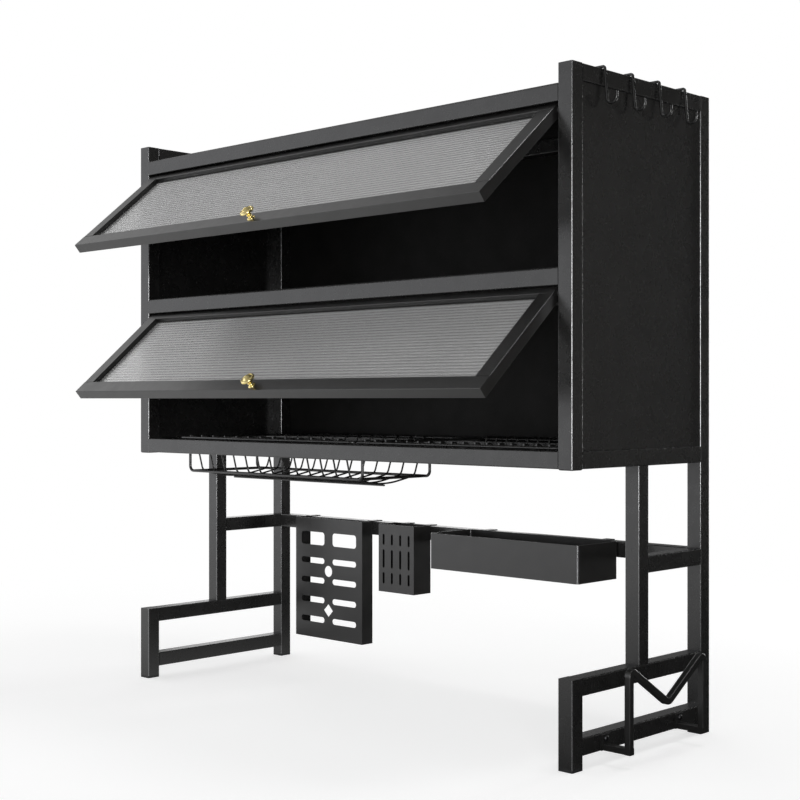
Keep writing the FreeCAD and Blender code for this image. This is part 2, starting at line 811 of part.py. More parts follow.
def dish_basket():
    """Wire basket that hangs through the cabinet floor on its rim.

    Two long wires turn up to the ends of the rim. The cross wires lie on the rim, pass between
    the long wires and sag.
    """
    x0, x1 = mm("BasketLeft"), mm("BasketRight")
    rim, loop, cross = mm("RimWire"), mm("LoopHeight"), mm("CrossWire")
    front, rear = mm("LoopFront"), mm("LoopRear")
    height, edge = rack_rim(x0, x1)
    step = (rim + cross) / 2 + mm("WireTouch")
    side = rim / 2 + mm("WireTouch")
    middle = mm("BasketMiddle")
    parts = [edge, straight_wire(at(x0 + side, middle, height), at(x1 - side, middle, height), rim)]
    top = height - side
    for place in (front, rear):
        points = [at(x0, place, top), at(x0, place, loop), at(x1, place, loop), at(x1, place, top)]
        parts.append(bent_wire(points, [mm("LoopBend")] * 2, rim))
    for x in (x0 + mm("LoopEnd"), x1 - mm("LoopEnd")):
        parts.append(straight_wire(at(x, front + side, loop), at(x, rear - side, loop), rim))
    count = round((x1 - x0) / mm("BasketPitch"))
    bends = [mm("CrossTopBend"), mm("CrossBend"), mm("BasketSag"), mm("CrossBend"), mm("CrossTopBend")]
    centre = (front + rear) / 2
    for number in range(1, count):
        x = x0 + (x1 - x0) * number / count
        points = [
            at(x, mm("RimFront") - cross / 2, height + step),
            at(x, mm("CrossFront"), height + step),
            at(x, front + step, loop),
            at(x, centre, mm("BasketFloor")),
            at(x, rear - step, loop),
            at(x, middle - step, height + step),
            at(x, middle + cross / 2, height + step),
        ]
        parts.append(bent_wire(points, bends, cross))
    slope = math.atan2(loop - mm("BasketFloor"), (rear - front) / 2 - step)
    lowest = mm("BasketFloor") + mm("BasketSag") * (1 / math.cos(slope) - 1)
    under = lowest - cross - mm("WireTouch")
    end = (x1 - x0) / count - cross
    parts.append(straight_wire(at(x0 + end, centre, under), at(x1 - end, centre, under), cross))
    finished(shaped("dish_basket", Part.Compound(parts)))


def plate_rack():
    """Shallow wire cradle beside the basket, its cross wires lying on the rim."""
    x0, x1 = mm("PlateLeft"), mm("PlateRight")
    cross, floor = mm("CrossWire"), mm("PlateFloor")
    height, edge = rack_rim(x0, x1)
    step = (mm("RimWire") + cross) / 2 + mm("WireTouch")
    front, rear, inset = mm("CrossFront"), mm("CrossRear"), mm("PlateStep")
    bend = mm("CrossTopBend")
    parts = [edge]
    count = round((x1 - x0) / mm("PlatePitch"))
    for number in range(1, count):
        x = x0 + (x1 - x0) * number / count
        points = [
            at(x, mm("RimFront") - cross / 2, height + step),
            at(x, front, height + step),
            at(x, front + inset, floor),
            at(x, rear - inset, floor),
            at(x, rear, height + step),
            at(x, mm("RimRear") + cross / 2, height + step),
        ]
        parts.append(bent_wire(points, [bend] * 4, cross))
    under = floor - cross - mm("WireTouch")
    end = (x1 - x0) / count - cross
    for share in (0.2, 0.5, 0.8):
        place = front + (rear - front) * share
        parts.append(straight_wire(at(x0 + end, place, under), at(x1 - end, place, under), cross))
    finished(shaped("plate_rack", Part.Compound(parts)))


def rail_hooks():
    """Four wire hooks that ride on the right top side rail."""
    wire = mm("HookWire")
    gap = mm("RailGap") + wire / 2
    inside = mm("FrameWidth / 2 - TubeSize") - gap
    outside = mm("FrameWidth / 2") + gap
    over = mm("FrameTop") + gap
    foot = over - gap - mm("HookDrop") - mm("HookBend")
    lean = outside + mm("HookLean")
    far = lean + 2 * mm("HookBend")
    for number in range(4):
        place = mm("HookFirst") + number * mm("HookPitch")
        points = [
            at(inside, place, over - gap - mm("HookInnerLeg")),
            at(inside, place, over),
            at(outside, place, over),
            at(lean, place, foot),
            at(far, place, foot),
            at(far, place, foot + mm("HookBend") + mm("HookTip")),
        ]
        top, bend = mm("HookTopBend"), mm("HookBend")
        finished(shaped(f"hook_{number + 1}", bent_wire(points, [top, top, bend * 0.9, bend], wire)))


def board_holder():
    """Square bar bent to an M, on two arms that are bolted to the right lower foot bar."""
    bar = mm("HolderBar")
    face = mm("FrameWidth") / 2
    x = face + mm("HolderReach")
    front, rear = mm("HolderFront"), mm("HolderRear")
    foot = mm("LowerBarHeight")
    points = [
        at(x, front, foot),
        at(x, front, mm("HolderTop")),
        at(x, (front + rear) / 2, mm("HolderValley")),
        at(x, rear, mm("HolderTop")),
        at(x, rear, foot),
    ]
    edge = mm("HolderEdge")
    block = Part.makeBox(bar, bar, 1, points[0] - Vector(bar / 2, bar / 2, 0))
    block = block.makeFillet(edge, [item for item in block.Edges if abs(item.tangentAt(0).z) > 0.9])
    section = next(face for face in block.Faces if face.normalAt(0, 0).z < -0.9)
    bend = mm("HolderTopBend")
    path = bent_path(points, [bend, mm("HolderValleyBend"), bend])
    parts = [path.makePipeShell([section.OuterWire], True, False)]
    wall = mm("PlateWall")
    hole = mm("BoltDiameter + 2 * RunningGap")
    for place in (front, rear):
        arm = Part.makeBox(x + bar / 2 - face, bar, bar, at(face, place - bar / 2, foot))
        arm = arm.makeFillet(edge, [item for item in arm.Edges if abs(item.tangentAt(0).x) > 0.9])
        size = mm("PlateSize")
        plate = Part.makeBox(wall, size, size, at(face, place - size / 2, foot + 1))
        start = at(face - wall, place, mm("BoltHeight"))
        bore = Part.makeCylinder(hole / 2, 3 * wall, start, Vector(1, 0, 0))
        parts += [arm, plate.cut(bore)]
    finished(shaped("board_holder", welded(parts)))


def holder_bolts():
    """Two round-headed bolts through the plates of the board holder."""
    bolts = []
    for name, place in (("front", "HolderFront"), ("rear", "HolderRear")):
        y = f"{place} - FrameDepth / 2"
        face = "FrameWidth / 2 + PlateWall"
        head = rod(f"bolt_{name}_head", "BoltHead", "BoltHeadHeight", (face, y, "BoltHeight"), "X")
        start = (f"{face} - BoltLength", y, "BoltHeight")
        shank = rod(f"bolt_{name}_shank", "BoltDiameter", "BoltLength", start, "X")
        bolts.append(joined(f"bolt_{name}", [head, shank]))
    finished(grouped("holder_bolts", bolts))


# Sheet accessories on the hanging rail


def upright_edges(solid):
    """Edges of a block that run up and down."""
    return [edge for edge in solid.Edges if abs(edge.tangentAt(edge.FirstParameter).z) > 0.9]


def sheet_box(x, width, depth, top, height, corner=0.0):
    """Thin-walled box with an open top whose back stands just before the hanging rail."""
    wall = mm("SheetWall")
    back = mm("AccessoryBack")
    outer = Part.makeBox(width, depth, height, at(x, back - depth, top - height))
    start = at(x + wall, back - depth + wall, top - height + wall)
    inner = Part.makeBox(width - 2 * wall, depth - 2 * wall, height, start)
    if corner:
        outer = outer.makeFillet(corner, upright_edges(outer))
        inner = inner.makeFillet(corner - wall, upright_edges(inner))
    return outer.cut(inner)


def rail_tab(x, width):
    """Tab that goes over the hanging rail and down behind it."""
    wall = mm("SheetWall")
    under = mm("HangRailTop + RailGap")
    front = mm("AccessoryBack") - wall
    behind = mm("FrameDepth + RailGap")
    root = mm("TabRoot")
    drop = mm("TabDrop")
    return [
        Part.makeBox(width, wall, root, at(x, front, under + wall - root)),
        Part.makeBox(width, behind + wall - front, wall, at(x, front, under)),
        Part.makeBox(width, wall, drop, at(x, behind, under + wall - drop)),
    ]


def opening(x, z, width, height, radius, front):
    """Cutter for a rounded opening through a front sheet, about its middle."""
    wall = mm("SheetWall")
    block = Part.makeBox(width, 4 * wall, height, at(x - width / 2, front - 2 * wall, z - height / 2))
    return block.makeFillet(radius, [edge for edge in block.Edges if abs(edge.tangentAt(0).y) > 0.9])


def pierced(name, solid, cuts, tabs):
    """The sheet box with its openings cut and its tabs joined on."""
    return finished(shaped(name, solid.cut(Part.Compound(cuts)).multiFuse(tabs).removeSplitter()))


def knife_rack():
    """Flat rack with two columns of slots, a round and a square opening, and an open back."""
    x, width, depth = mm("KnifeLeft"), mm("KnifeWidth"), mm("KnifeDepth")
    back = mm("AccessoryBack")
    front = back - depth
    top, tall = mm("KnifeTop"), mm("KnifeHeight")
    wall = mm("SheetWall")
    flange = mm("KnifeFlange")
    solid = sheet_box(x, width, depth, top, tall)
    corner = at(x + flange, back - 2 * wall, top - tall + flange)
    cuts = [Part.makeBox(width - 2 * flange, 3 * wall, tall, corner)]
    middle = x + width / 2
    slot, height = mm("KnifeSlotWidth"), mm("KnifeSlotHeight")
    offset = (slot + mm("KnifeColumnGap")) / 2
    for column in (middle - offset, middle + offset):
        level = top - mm("KnifeTopRow")
        cuts.append(opening(column, level, slot, mm("KnifeTopSlot"), mm("KnifeTopSlotCorner"), front))
        for number in range(4):
            level = top - mm("KnifeSecondRow") - number * mm("KnifeRowPitch")
            cuts.append(opening(column, level, slot, height, height / 2 - mm("RoundGap"), front))
    hole = at(middle, front - 2 * wall, top - mm("KnifeHoleDrop"))
    cuts.append(Part.makeCylinder(mm("KnifeHole") / 2, 4 * wall, hole, Vector(0, 1, 0)))
    reach = mm("KnifeDiamond")
    centre = at(middle, front - 2 * wall, top - mm("KnifeDiamondDrop"))
    turns = ((1, 0), (0, 1), (-1, 0), (0, -1), (1, 0))
    tips = [centre + Vector(reach * dx, 0, reach * dz) for dx, dz in turns]
    cuts.append(Part.Face(Part.makePolygon(tips)).extrude(Vector(0, 4 * wall, 0)))
    pierced("knife_rack", solid, cuts, rail_tab(x, flange) + rail_tab(x + width - flange, flange))


def chopstick_box():
    """Tall box with four columns of upright slots in front and drains in its floor."""
    x, width, depth = mm("StickLeft"), mm("StickWidth"), mm("StickDepth")
    front = mm("AccessoryBack") - depth
    top, tall = mm("StickTop"), mm("StickHeight")
    solid = sheet_box(x, width, depth, top, tall)
    slot, wall, margin = mm("StickSlotWidth"), mm("SheetWall"), mm("DrainMargin")
    cuts = []
    for column in range(4):
        place = x + width / 2 + (column - 1.5) * mm("StickSlotPitch")
        high = top - mm("StickSlotTop")
        for length in (mm("StickTopSlot"), mm("StickMiddleSlot"), mm("StickLowSlot")):
            cuts.append(opening(place, high - length / 2, slot, length, slot / 2 - mm("RoundGap"), front))
            high -= length + mm("StickSlotGap")
        corner = at(place - slot / 2, front + margin, top - tall - wall)
        cuts.append(Part.makeBox(slot, depth - 2 * margin, 3 * wall, corner))
    tab, inset = mm("TabWidth"), mm("TabInset")
    tabs = rail_tab(x + inset, tab) + rail_tab(x + width - inset - tab, tab)
    pierced("chopstick_box", solid, cuts, tabs)


def sponge_tray():
    """Long open tray with drain slots in its floor."""
    x, width, depth = mm("TrayLeft"), mm("TrayWidth"), mm("TrayDepth")
    front = mm("AccessoryBack") - depth
    top, tall = mm("TrayTop"), mm("TrayHeight")
    solid = sheet_box(x, width, depth, top, tall, mm("TrayCorner"))
    slot, wall, margin = mm("TrayDrain"), mm("SheetWall"), 2 * mm("DrainMargin")
    count = int(width / mm("TrayDrainPitch"))
    cuts = []
    for number in range(count):
        place = x + width * (number + 0.5) / count
        corner = at(place - slot / 2, front + margin, top - tall - wall)
        cuts.append(Part.makeBox(slot, depth - 2 * margin, 3 * wall, corner))
    tab, inset = mm("TabWidth"), 3 * mm("TabInset")
    tabs = rail_tab(x + inset, tab) + rail_tab(x + width - inset - tab, tab)
    pierced("sponge_tray", solid, cuts, tabs)


frame_posts()
frame_rails()
stand()
foot_caps()
side_panels()
back_panel()
shelves()
doors()
hinge_bushes()
dish_basket()
plate_rack()
rail_hooks()
board_holder()
holder_bolts()
knife_rack()
chopstick_box()
sponge_tray()
doc.recompute()

for item in doc.Objects:
    if {"Invalid", "Error"} & set(item.State):
        raise RuntimeError(f"{item.Name} did not build: {item.State}")

os.makedirs("parts", exist_ok=True)
for item in made:
    if item.Shape.isNull() or not item.Shape.isValid():
        raise RuntimeError(f"{item.Name} has no valid shape")
    item.Shape.exportStep(f"parts/{item.Name}.step")
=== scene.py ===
"""Looks of an over-sink dish rack with two flip-up doors of reeded glass.

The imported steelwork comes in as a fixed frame, in metres, with the middle of the four feet at the
origin. The classes below give every part its finish and model what a plain part leaves out: turned
brass knobs, socket bolts, rivets and tube plugs. Others set up the studio and the camera.
"""

from __future__ import annotations

import logging
import math
from collections.abc import Iterable, Sequence
from dataclasses import dataclass, field
from enum import Enum

import bmesh
import bpy
from mathutils import Matrix, Vector

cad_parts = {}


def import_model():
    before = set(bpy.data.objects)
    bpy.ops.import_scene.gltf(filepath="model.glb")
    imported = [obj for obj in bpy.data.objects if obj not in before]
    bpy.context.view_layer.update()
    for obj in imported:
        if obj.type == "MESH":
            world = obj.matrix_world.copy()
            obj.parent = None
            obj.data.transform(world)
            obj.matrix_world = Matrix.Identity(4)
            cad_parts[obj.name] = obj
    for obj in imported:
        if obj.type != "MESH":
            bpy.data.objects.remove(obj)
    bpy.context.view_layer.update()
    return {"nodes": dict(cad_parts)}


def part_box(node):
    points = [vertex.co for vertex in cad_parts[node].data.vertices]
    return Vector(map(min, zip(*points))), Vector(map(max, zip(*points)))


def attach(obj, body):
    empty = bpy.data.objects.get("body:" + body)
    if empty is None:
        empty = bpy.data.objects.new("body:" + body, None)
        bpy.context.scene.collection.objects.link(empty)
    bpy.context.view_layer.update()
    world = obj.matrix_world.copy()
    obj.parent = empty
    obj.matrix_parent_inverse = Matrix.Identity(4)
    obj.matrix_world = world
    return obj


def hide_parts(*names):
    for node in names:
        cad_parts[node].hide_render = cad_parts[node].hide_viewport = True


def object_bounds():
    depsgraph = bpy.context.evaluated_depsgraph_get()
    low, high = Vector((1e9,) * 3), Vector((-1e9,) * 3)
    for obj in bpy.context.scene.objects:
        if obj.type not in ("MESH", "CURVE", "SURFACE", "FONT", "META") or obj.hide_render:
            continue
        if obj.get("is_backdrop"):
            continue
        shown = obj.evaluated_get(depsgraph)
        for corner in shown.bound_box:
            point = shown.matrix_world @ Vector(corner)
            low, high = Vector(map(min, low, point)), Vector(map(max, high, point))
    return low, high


LOG = logging.getLogger("dish_rack")

Colour = tuple[float, float, float]
Point = tuple[float, float, float]
Span = tuple[float, float]
Ring = tuple[float, float]

ORIGIN: Point = (0.0, 0.0, 0.0)
WHITE: Colour = (1.0, 1.0, 1.0)
MILLIMETRE = 0.001


@dataclass(frozen=True)
class Pattern:
    """A cloud pattern.

    Attributes:
        scale: Cells to the metre.
        detail: Octaves.
        start: Value of the pattern from which it is used.
        end: Value up to which it is used.
    """

    scale: float
    detail: float
    start: float = 0.35
    end: float = 0.65


class Grain(Enum):
    """How fine the skin of a finish is."""

    SATIN = Pattern(1400.0, 2.0)
    MOULDED = Pattern(2200.0, 2.0)


class Edges(Enum):
    """Where the coat of a piece wears through and where a highlight is painted on its edges."""

    # Upright edges are lighter and more metallic, as worn coat and as a painted highlight
    UPRIGHT = "on the rounded upright edges, which hands brush past"
    NONE = "nowhere, as on wire"


class Shader:
    """A material while its nodes are being put together.

    Attributes:
        squareness: Range of a normal's larger level part over which an edge turns into a side.
        tip: Range of a normal's upright part over which an upright edge ends.
    """

    squareness: Span = (0.93, 0.985)
    tip: Span = (0.15, 0.4)

    def __init__(self, name: str) -> None:
        """Starts an empty material with a Principled surface.

        Args:
            name: Name of the material.
        """
        self.material = bpy.data.materials.new(name)
        self.material.use_nodes = True
        self.tree = self.material.node_tree
        self.tree.nodes.clear()
        self.surface = self.node("ShaderNodeBsdfPrincipled")
        output = self.node("ShaderNodeOutputMaterial")
        self.tree.links.new(self.surface.outputs[0], output.inputs["Surface"])
        self.place = self.node("ShaderNodeTexCoord").outputs["Object"]

    def node(self, kind: str, **inputs: object) -> bpy.types.Node:
        """Adds a node and fills its inputs.

        Args:
            kind: Blender's name of the node type.
            **inputs: Values or sockets by input name, with spaces written as underscores.

        Returns:
            The new node.
        """
        made = self.tree.nodes.new(kind)
        for name, value in inputs.items():
            self.feed(made.inputs[name.replace("_", " ")], value)
        return made

    def feed(self, socket: bpy.types.NodeSocket, value: object) -> None:
        """Links a socket into an input, or writes a plain value on it.

        Args:
            socket: The input.
            value: The socket or value that it gets.
        """
        if isinstance(value, bpy.types.NodeSocket):
            self.tree.links.new(value, socket)
        elif isinstance(value, tuple) and len(value) == 3 and socket.type == "RGBA":
            socket.default_value = (*value, 1.0)
        else:
            socket.default_value = value

    def turned(
        self, centre: Point = ORIGIN, turn: Point = ORIGIN, stretch: Point = (1.0, 1.0, 1.0)
    ) -> bpy.types.NodeSocket:
        """Object coordinates measured from a centre, turned and stretched.

        Args:
            centre: Point of the object that becomes the origin.
            turn: Angles in degrees about X, Y and Z.
            stretch: Factors along the turned axes.

        Returns:
            The vector socket to read.
        """
        back = tuple(-part for part in centre)
        moved = self.node("ShaderNodeMapping", Vector=self.place, Location=back)
        spun = self.node(
            "ShaderNodeMapping",
            Vector=moved.outputs[0],
            Rotation=tuple(math.radians(a) for a in turn),
            Scale=stretch,
        )
        return spun.outputs[0]

    def noise(
        self, pattern: Pattern, where: bpy.types.NodeSocket | None = None
    ) -> bpy.types.NodeSocket:
        """A cloud pattern as it comes, about 0.3 to 0.7.

        Args:
            pattern: How fine it is.
            where: Coordinates to read, plain object coordinates if left out.

        Returns:
            The socket with the pattern.
        """
        made = self.node(
            "ShaderNodeTexNoise",
            Vector=where or self.place,
            Scale=pattern.scale,
            Detail=pattern.detail,
        )
        return made.outputs[0]

    def spread(
        self, value: bpy.types.NodeSocket, low: float, high: float, start: float, end: float
    ) -> bpy.types.NodeSocket:
        """Stretches the part of a value from start to end over low to high.

        Args:
            value: The value.
            low: Result at the start.
            high: Result at the end.
            start: Where the used part starts.
            end: Where the used part ends.

        Returns:
            The socket with the result, held between low and high.
        """
        made = self.node(
            "ShaderNodeMapRange",
            Value=value,
            From_Min=start,
            From_Max=end,
            To_Min=low,
            To_Max=high,
        )
        return made.outputs[0]

    def clouds(
        self,
        pattern: Pattern,
        low: float = 0.0,
        high: float = 1.0,
        where: bpy.types.NodeSocket | None = None,
    ) -> bpy.types.NodeSocket:
        """A cloud pattern whose used part reaches from low to high.

        Args:
            pattern: How fine it is and which part of it is used.
            low: Result at the start of that part.
            high: Result at its end.
            where: Coordinates to read, plain object coordinates if left out.

        Returns:
            The socket with the result.
        """
        return self.spread(self.noise(pattern, where), low, high, pattern.start, pattern.end)

    def blend(
        self, share: bpy.types.NodeSocket, first: object, second: object
    ) -> bpy.types.NodeSocket:
        """Mixes two colours.

        Args:
            share: Share of the second colour.
            first: First colour or socket.
            second: Second colour or socket.

        Returns:
            The socket with the mixed colour.
        """
        made = self.tree.nodes.new("ShaderNodeMix")
        made.data_type = "RGBA"
        self.feed(made.inputs["Factor"], share)
        colours = [socket for socket in made.inputs if socket.type == "RGBA"]
        for socket, colour in zip(colours, (first, second)):
            self.feed(socket, colour)
        return next(socket for socket in made.outputs if socket.type == "RGBA")

    def compute(
        self, operation: str, first: object, second: object = 0.0
    ) -> bpy.types.NodeSocket:
        """Calculates with numbers and holds the result between 0 and 1.

        Args:
            operation: Blender's name of the operation.
            first: First number or socket.
            second: Second number or socket, for an operation that has one.

        Returns:
            The socket with the result.
        """
        made = self.tree.nodes.new("ShaderNodeMath")
        made.operation = operation
        made.use_clamp = True
        for socket, value in zip(made.inputs, (first, second)):
            self.feed(socket, value)
        return made.outputs[0]

    def facing(self, lean: float = 0.0) -> bpy.types.NodeOutputs:
        """Normal of the surface, as the piece itself knows it.

        Args:
            lean: Angle in degrees about X by which the piece leans; it is stood upright first.

        Returns:
            The sockets with the normal's X, Y and Z.
        """
        normal = self.node("ShaderNodeTexCoord").outputs["Normal"]
        upright = self.node("ShaderNodeMapping", Vector=normal, Rotation=(math.radians(lean), 0, 0))
        upright.vector_type = "NORMAL"
        return self.node("ShaderNodeSeparateXYZ", Vector=upright.outputs[0]).outputs

    def on_edges(self, edges: Edges, lean: float) -> bpy.types.NodeSocket | None:
        """One on the rounded upright edges of a piece, zero elsewhere.

        Args:
            edges: Which edges are meant.
            lean: Angle in degrees by which the piece is swung open about X.

        Returns:
            The socket with the mask, or None where the piece has no such edges.
        """
        if edges is Edges.NONE:
            return None
        across, deep, high = (self.compute("ABSOLUTE", part) for part in self.facing(lean))
        rounded = self.spread(self.compute("MAXIMUM", across, deep), 1, 0, *self.squareness)
        level = self.spread(high, 1, 0, *self.tip)
        return self.compute("MULTIPLY", rounded, level)

    def relief(
        self,
        height: bpy.types.NodeSocket,
        depth: float,
        shown: float,
        over: bpy.types.NodeSocket | None = None,
    ) -> bpy.types.NodeSocket:
        """A bump from a pattern.

        Args:
            height: The pattern.
            depth: Real height of the pattern's full range, in metres.
            shown: Share of the bump that shows.
            over: An earlier bump that this one lies on.

        Returns:
            The normal socket.
        """
        made = self.node("ShaderNodeBump", Height=height, Distance=depth, Strength=shown)
        if over is not None:
            self.feed(made.inputs["Normal"], over)
        return made.outputs[0]

    def set(self, **inputs: object) -> None:
        """Writes or links inputs of the Principled surface, with spaces written as underscores."""
        for name, value in inputs.items():
            self.feed(self.surface.inputs[name.replace("_", " ")], value)


@dataclass(frozen=True)
class PowderCoat:
    """Black powder coat: a satin skin with fine orange peel, faint clouds, and worn upright edges
    that also carry a painted highlight.

    Attributes:
        name: Name of the material.
        colour: Its darker colour.
        cloud: Its lighter colour.
        smooth: Least roughness.
        rough: Greatest roughness.
        shine: Strength of its mirroring.
        grain: How fine the orange peel is.
        peel: Depth of the orange peel, in metres.
        dust: Colour of the dust.
        dust_share: Greatest share of dust on faces that look up.
        edges: Where the coat wears through and a highlight is painted.
        worn: Colour of the worn edges, lightened also as a painted highlight.
        lean: Angle in degrees by which the piece is swung open.
        index: Refractive index.
        speck_share: Share of dust in a speck.
        peel_shown: Share of the orange peel that shows.
        wave_depth: Depth of the slow waves, in metres.
        wave_shown: Share of the slow waves that shows.
        least_rub_and_highlight: Share of wear and painted highlight where an edge gets least of it.
        bare_metal_and_highlight: Share of metallic finish where the edge is worn most, standing
            both for steel worn through and for a painted highlight.
        polished: How much smoother a worn, highlighted edge is.
    """

    name: str
    colour: Colour = (0.0074, 0.0072, 0.0070)
    cloud: Colour = (0.0106, 0.0103, 0.0100)
    smooth: float = 0.25
    rough: float = 0.30
    shine: float = 0.8
    grain: Grain = Grain.SATIN
    peel: float = 0.00002
    dust: Colour = (0.036, 0.036, 0.036)
    dust_share: float = 0.10
    edges: Edges = Edges.UPRIGHT
    # Light edge colour: worn coat together with a painted highlight
    worn: Colour = (0.27, 0.27, 0.275)
    lean: float = 0.0
    index: float = 1.5
    speck_share: float = 0.25
    peel_shown: float = 0.8
    wave_depth: float = 0.00004
    wave_shown: float = 0.2
    least_rub_and_highlight: float = 0.72
    bare_metal_and_highlight: float = 0.9
    polished: float = 0.1
    clouds: Pattern = Pattern(22.0, 4.0)
    specks: Pattern = Pattern(420.0, 2.0, 0.62, 0.72)
    settled: Pattern = Pattern(26.0, 6.0)
    sheen: Pattern = Pattern(48.0, 5.0)
    waves: Pattern = Pattern(60.0, 1.0)
    # Unevenness of the worn edges with their painted highlight
    rub_and_highlight: Pattern = Pattern(75.0, 4.0)

    def make(self) -> bpy.types.Material:
        """Builds the material.

        Returns:
            The material.
        """
        shader = Shader(self.name)
        tone = shader.blend(shader.clouds(self.clouds), self.colour, self.cloud)
        layer = shader.clouds(self.settled, 0, self.dust_share)
        lying = shader.compute("MULTIPLY", shader.facing()["Z"], layer)
        dusty = shader.blend(lying, tone, self.dust)
        specks = shader.compute("MULTIPLY", shader.clouds(self.specks), self.speck_share)
        coat = shader.blend(specks, dusty, self.dust)
        roughness = shader.clouds(self.sheen, self.smooth, self.rough)
        peel = shader.relief(shader.noise(self.grain.value), self.peel, self.peel_shown)
        waves = shader.relief(shader.noise(self.waves), self.wave_depth, self.wave_shown, peel)
        shader.set(
            Base_Color=coat,
            Roughness=roughness,
            IOR=self.index,
            Specular_IOR_Level=self.shine,
            Normal=waves,
        )
        # Upright edges turn lighter, metallic and smoother: worn coat plus a painted highlight
        edge = shader.on_edges(self.edges, self.lean)
        if edge is not None:
            evenness = shader.clouds(self.rub_and_highlight, self.least_rub_and_highlight, 1.0)
            rubbed_and_highlit = shader.compute("MULTIPLY", edge, evenness)
            smoother = shader.compute("MULTIPLY", rubbed_and_highlit, self.polished)
            shader.set(
                Base_Color=shader.blend(rubbed_and_highlit, coat, self.worn),
                Metallic=shader.compute("MULTIPLY", rubbed_and_highlit, self.bare_metal_and_highlight),
                Roughness=shader.compute("SUBTRACT", roughness, smoother),
            )
        return shader.material


@dataclass(frozen=True)
class ReededGlass:
    """Tempered glass with a milky reeded front, a plain back and wiped-down smudges."""

    name: str
    lean: float
    tint: Colour = (0.76, 0.76, 0.755)
    film: Colour = (0.71, 0.71, 0.71)
    clear: float = 0.66
    clean: float = 0.09
    smudged: float = 0.13
    index: float = 1.52
    wiped: Point = (0.5, 1.0, 2.0)
    rear: Span = (0.2, 0.4)
    smudges: Pattern = Pattern(5.0, 5.0)
    milk: Pattern = Pattern(2.5, 4.0)

    def make(self) -> bpy.types.Material:
        """Builds the material.

        Returns:
            The material.
        """
        shader = Shader(self.name)
        wiped = shader.turned(stretch=self.wiped)
        behind = shader.spread(shader.facing(self.lean)["Y"], 0, 1, *self.rear)
        milky = shader.blend(shader.clouds(self.milk), self.tint, self.film)
        shader.set(
            Base_Color=shader.blend(behind, milky, WHITE),
            Roughness=shader.clouds(self.smudges, self.clean, self.smudged, wiped),
            IOR=self.index,
            Transmission_Weight=shader.spread(behind, self.clear, 1.0, 0.0, 1.0),
        )
        return shader.material


@dataclass(frozen=True)
class TurnedBrass:
    """Lacquered brass off the lathe, with hair-fine rings round its axis."""

    name: str
    centre: Point
    lean: float
    colour: Colour = (0.95, 0.80, 0.38)
    deep: Colour = (0.86, 0.68, 0.27)
    smooth: float = 0.07
    rough: float = 0.15
    ring_scale: float = 900.0
    ring_wander: float = 1.5
    ring_detail: float = 2.0
    ring_depth: float = 0.000002
    ring_shown: float = 0.4
    tarnish: Pattern = Pattern(220.0, 4.0, 0.45, 0.7)
    sheen: Pattern = Pattern(500.0, 3.0)

    def make(self) -> bpy.types.Material:
        """Builds the material.

        Returns:
            The material.
        """
        shader = Shader(self.name)
        rings = shader.node(
            "ShaderNodeTexWave",
            Vector=shader.turned(self.centre, (-self.lean, 0, 0)),
            Scale=self.ring_scale,
            Distortion=self.ring_wander,
            Detail=self.ring_detail,
        )
        rings.wave_type = "RINGS"
        rings.rings_direction = "Z"
        shader.set(
            Base_Color=shader.blend(shader.clouds(self.tarnish), self.colour, self.deep),
            Metallic=1.0,
            Roughness=shader.clouds(self.sheen, self.smooth, self.rough),
            Normal=shader.relief(rings.outputs["Fac"], self.ring_depth, self.ring_shown),
        )
        return shader.material


@dataclass(frozen=True)
class MouldedPolymer:
    """Moulded plastic or rubber with a fine spark-eroded grain."""

    name: str
    colour: Colour = (0.012, 0.012, 0.013)
    worn: Colour = (0.028, 0.028, 0.029)
    smooth: float = 0.5
    rough: float = 0.68
    depth: float = 0.00004
    shown: float = 0.7
    scuffs: Pattern = Pattern(65.0, 6.0, 0.5, 0.75)
    sheen: Pattern = Pattern(130.0, 3.0)

    def make(self) -> bpy.types.Material:
        """Builds the material.

        Returns:
            The material.
        """
        shader = Shader(self.name)
        shader.set(
            Base_Color=shader.blend(shader.clouds(self.scuffs), self.colour, self.worn),
            Roughness=shader.clouds(self.sheen, self.smooth, self.rough),
            Normal=shader.relief(shader.noise(Grain.MOULDED.value), self.depth, self.shown),
        )
        return shader.material


@dataclass(frozen=True)
class PlatedSteel:
    """Zinc or black-oxide steel of pins and bolts, with drawn lines along one axis."""

    name: str
    colour: Colour = (0.56, 0.57, 0.58)
    stain: Colour = (0.38, 0.38, 0.38)
    smooth: float = 0.22
    rough: float = 0.40
    along: Point = (0.08, 1.0, 1.0)
    line_depth: float = 0.000006
    line_shown: float = 0.6
    drawn: Pattern = Pattern(1800.0, 2.0)
    stains: Pattern = Pattern(160.0, 4.0)

    def make(self) -> bpy.types.Material:
        """Builds the material.

        Returns:
            The material.
        """
        shader = Shader(self.name)
        lines = shader.noise(self.drawn, shader.turned(stretch=self.along))
        used = self.drawn.start, self.drawn.end
        shader.set(
            Base_Color=shader.blend(shader.clouds(self.stains), self.colour, self.stain),
            Metallic=1.0,
            Roughness=shader.spread(lines, self.smooth, self.rough, *used),
            Normal=shader.relief(lines, self.line_depth, self.line_shown),
        )
        return shader.material


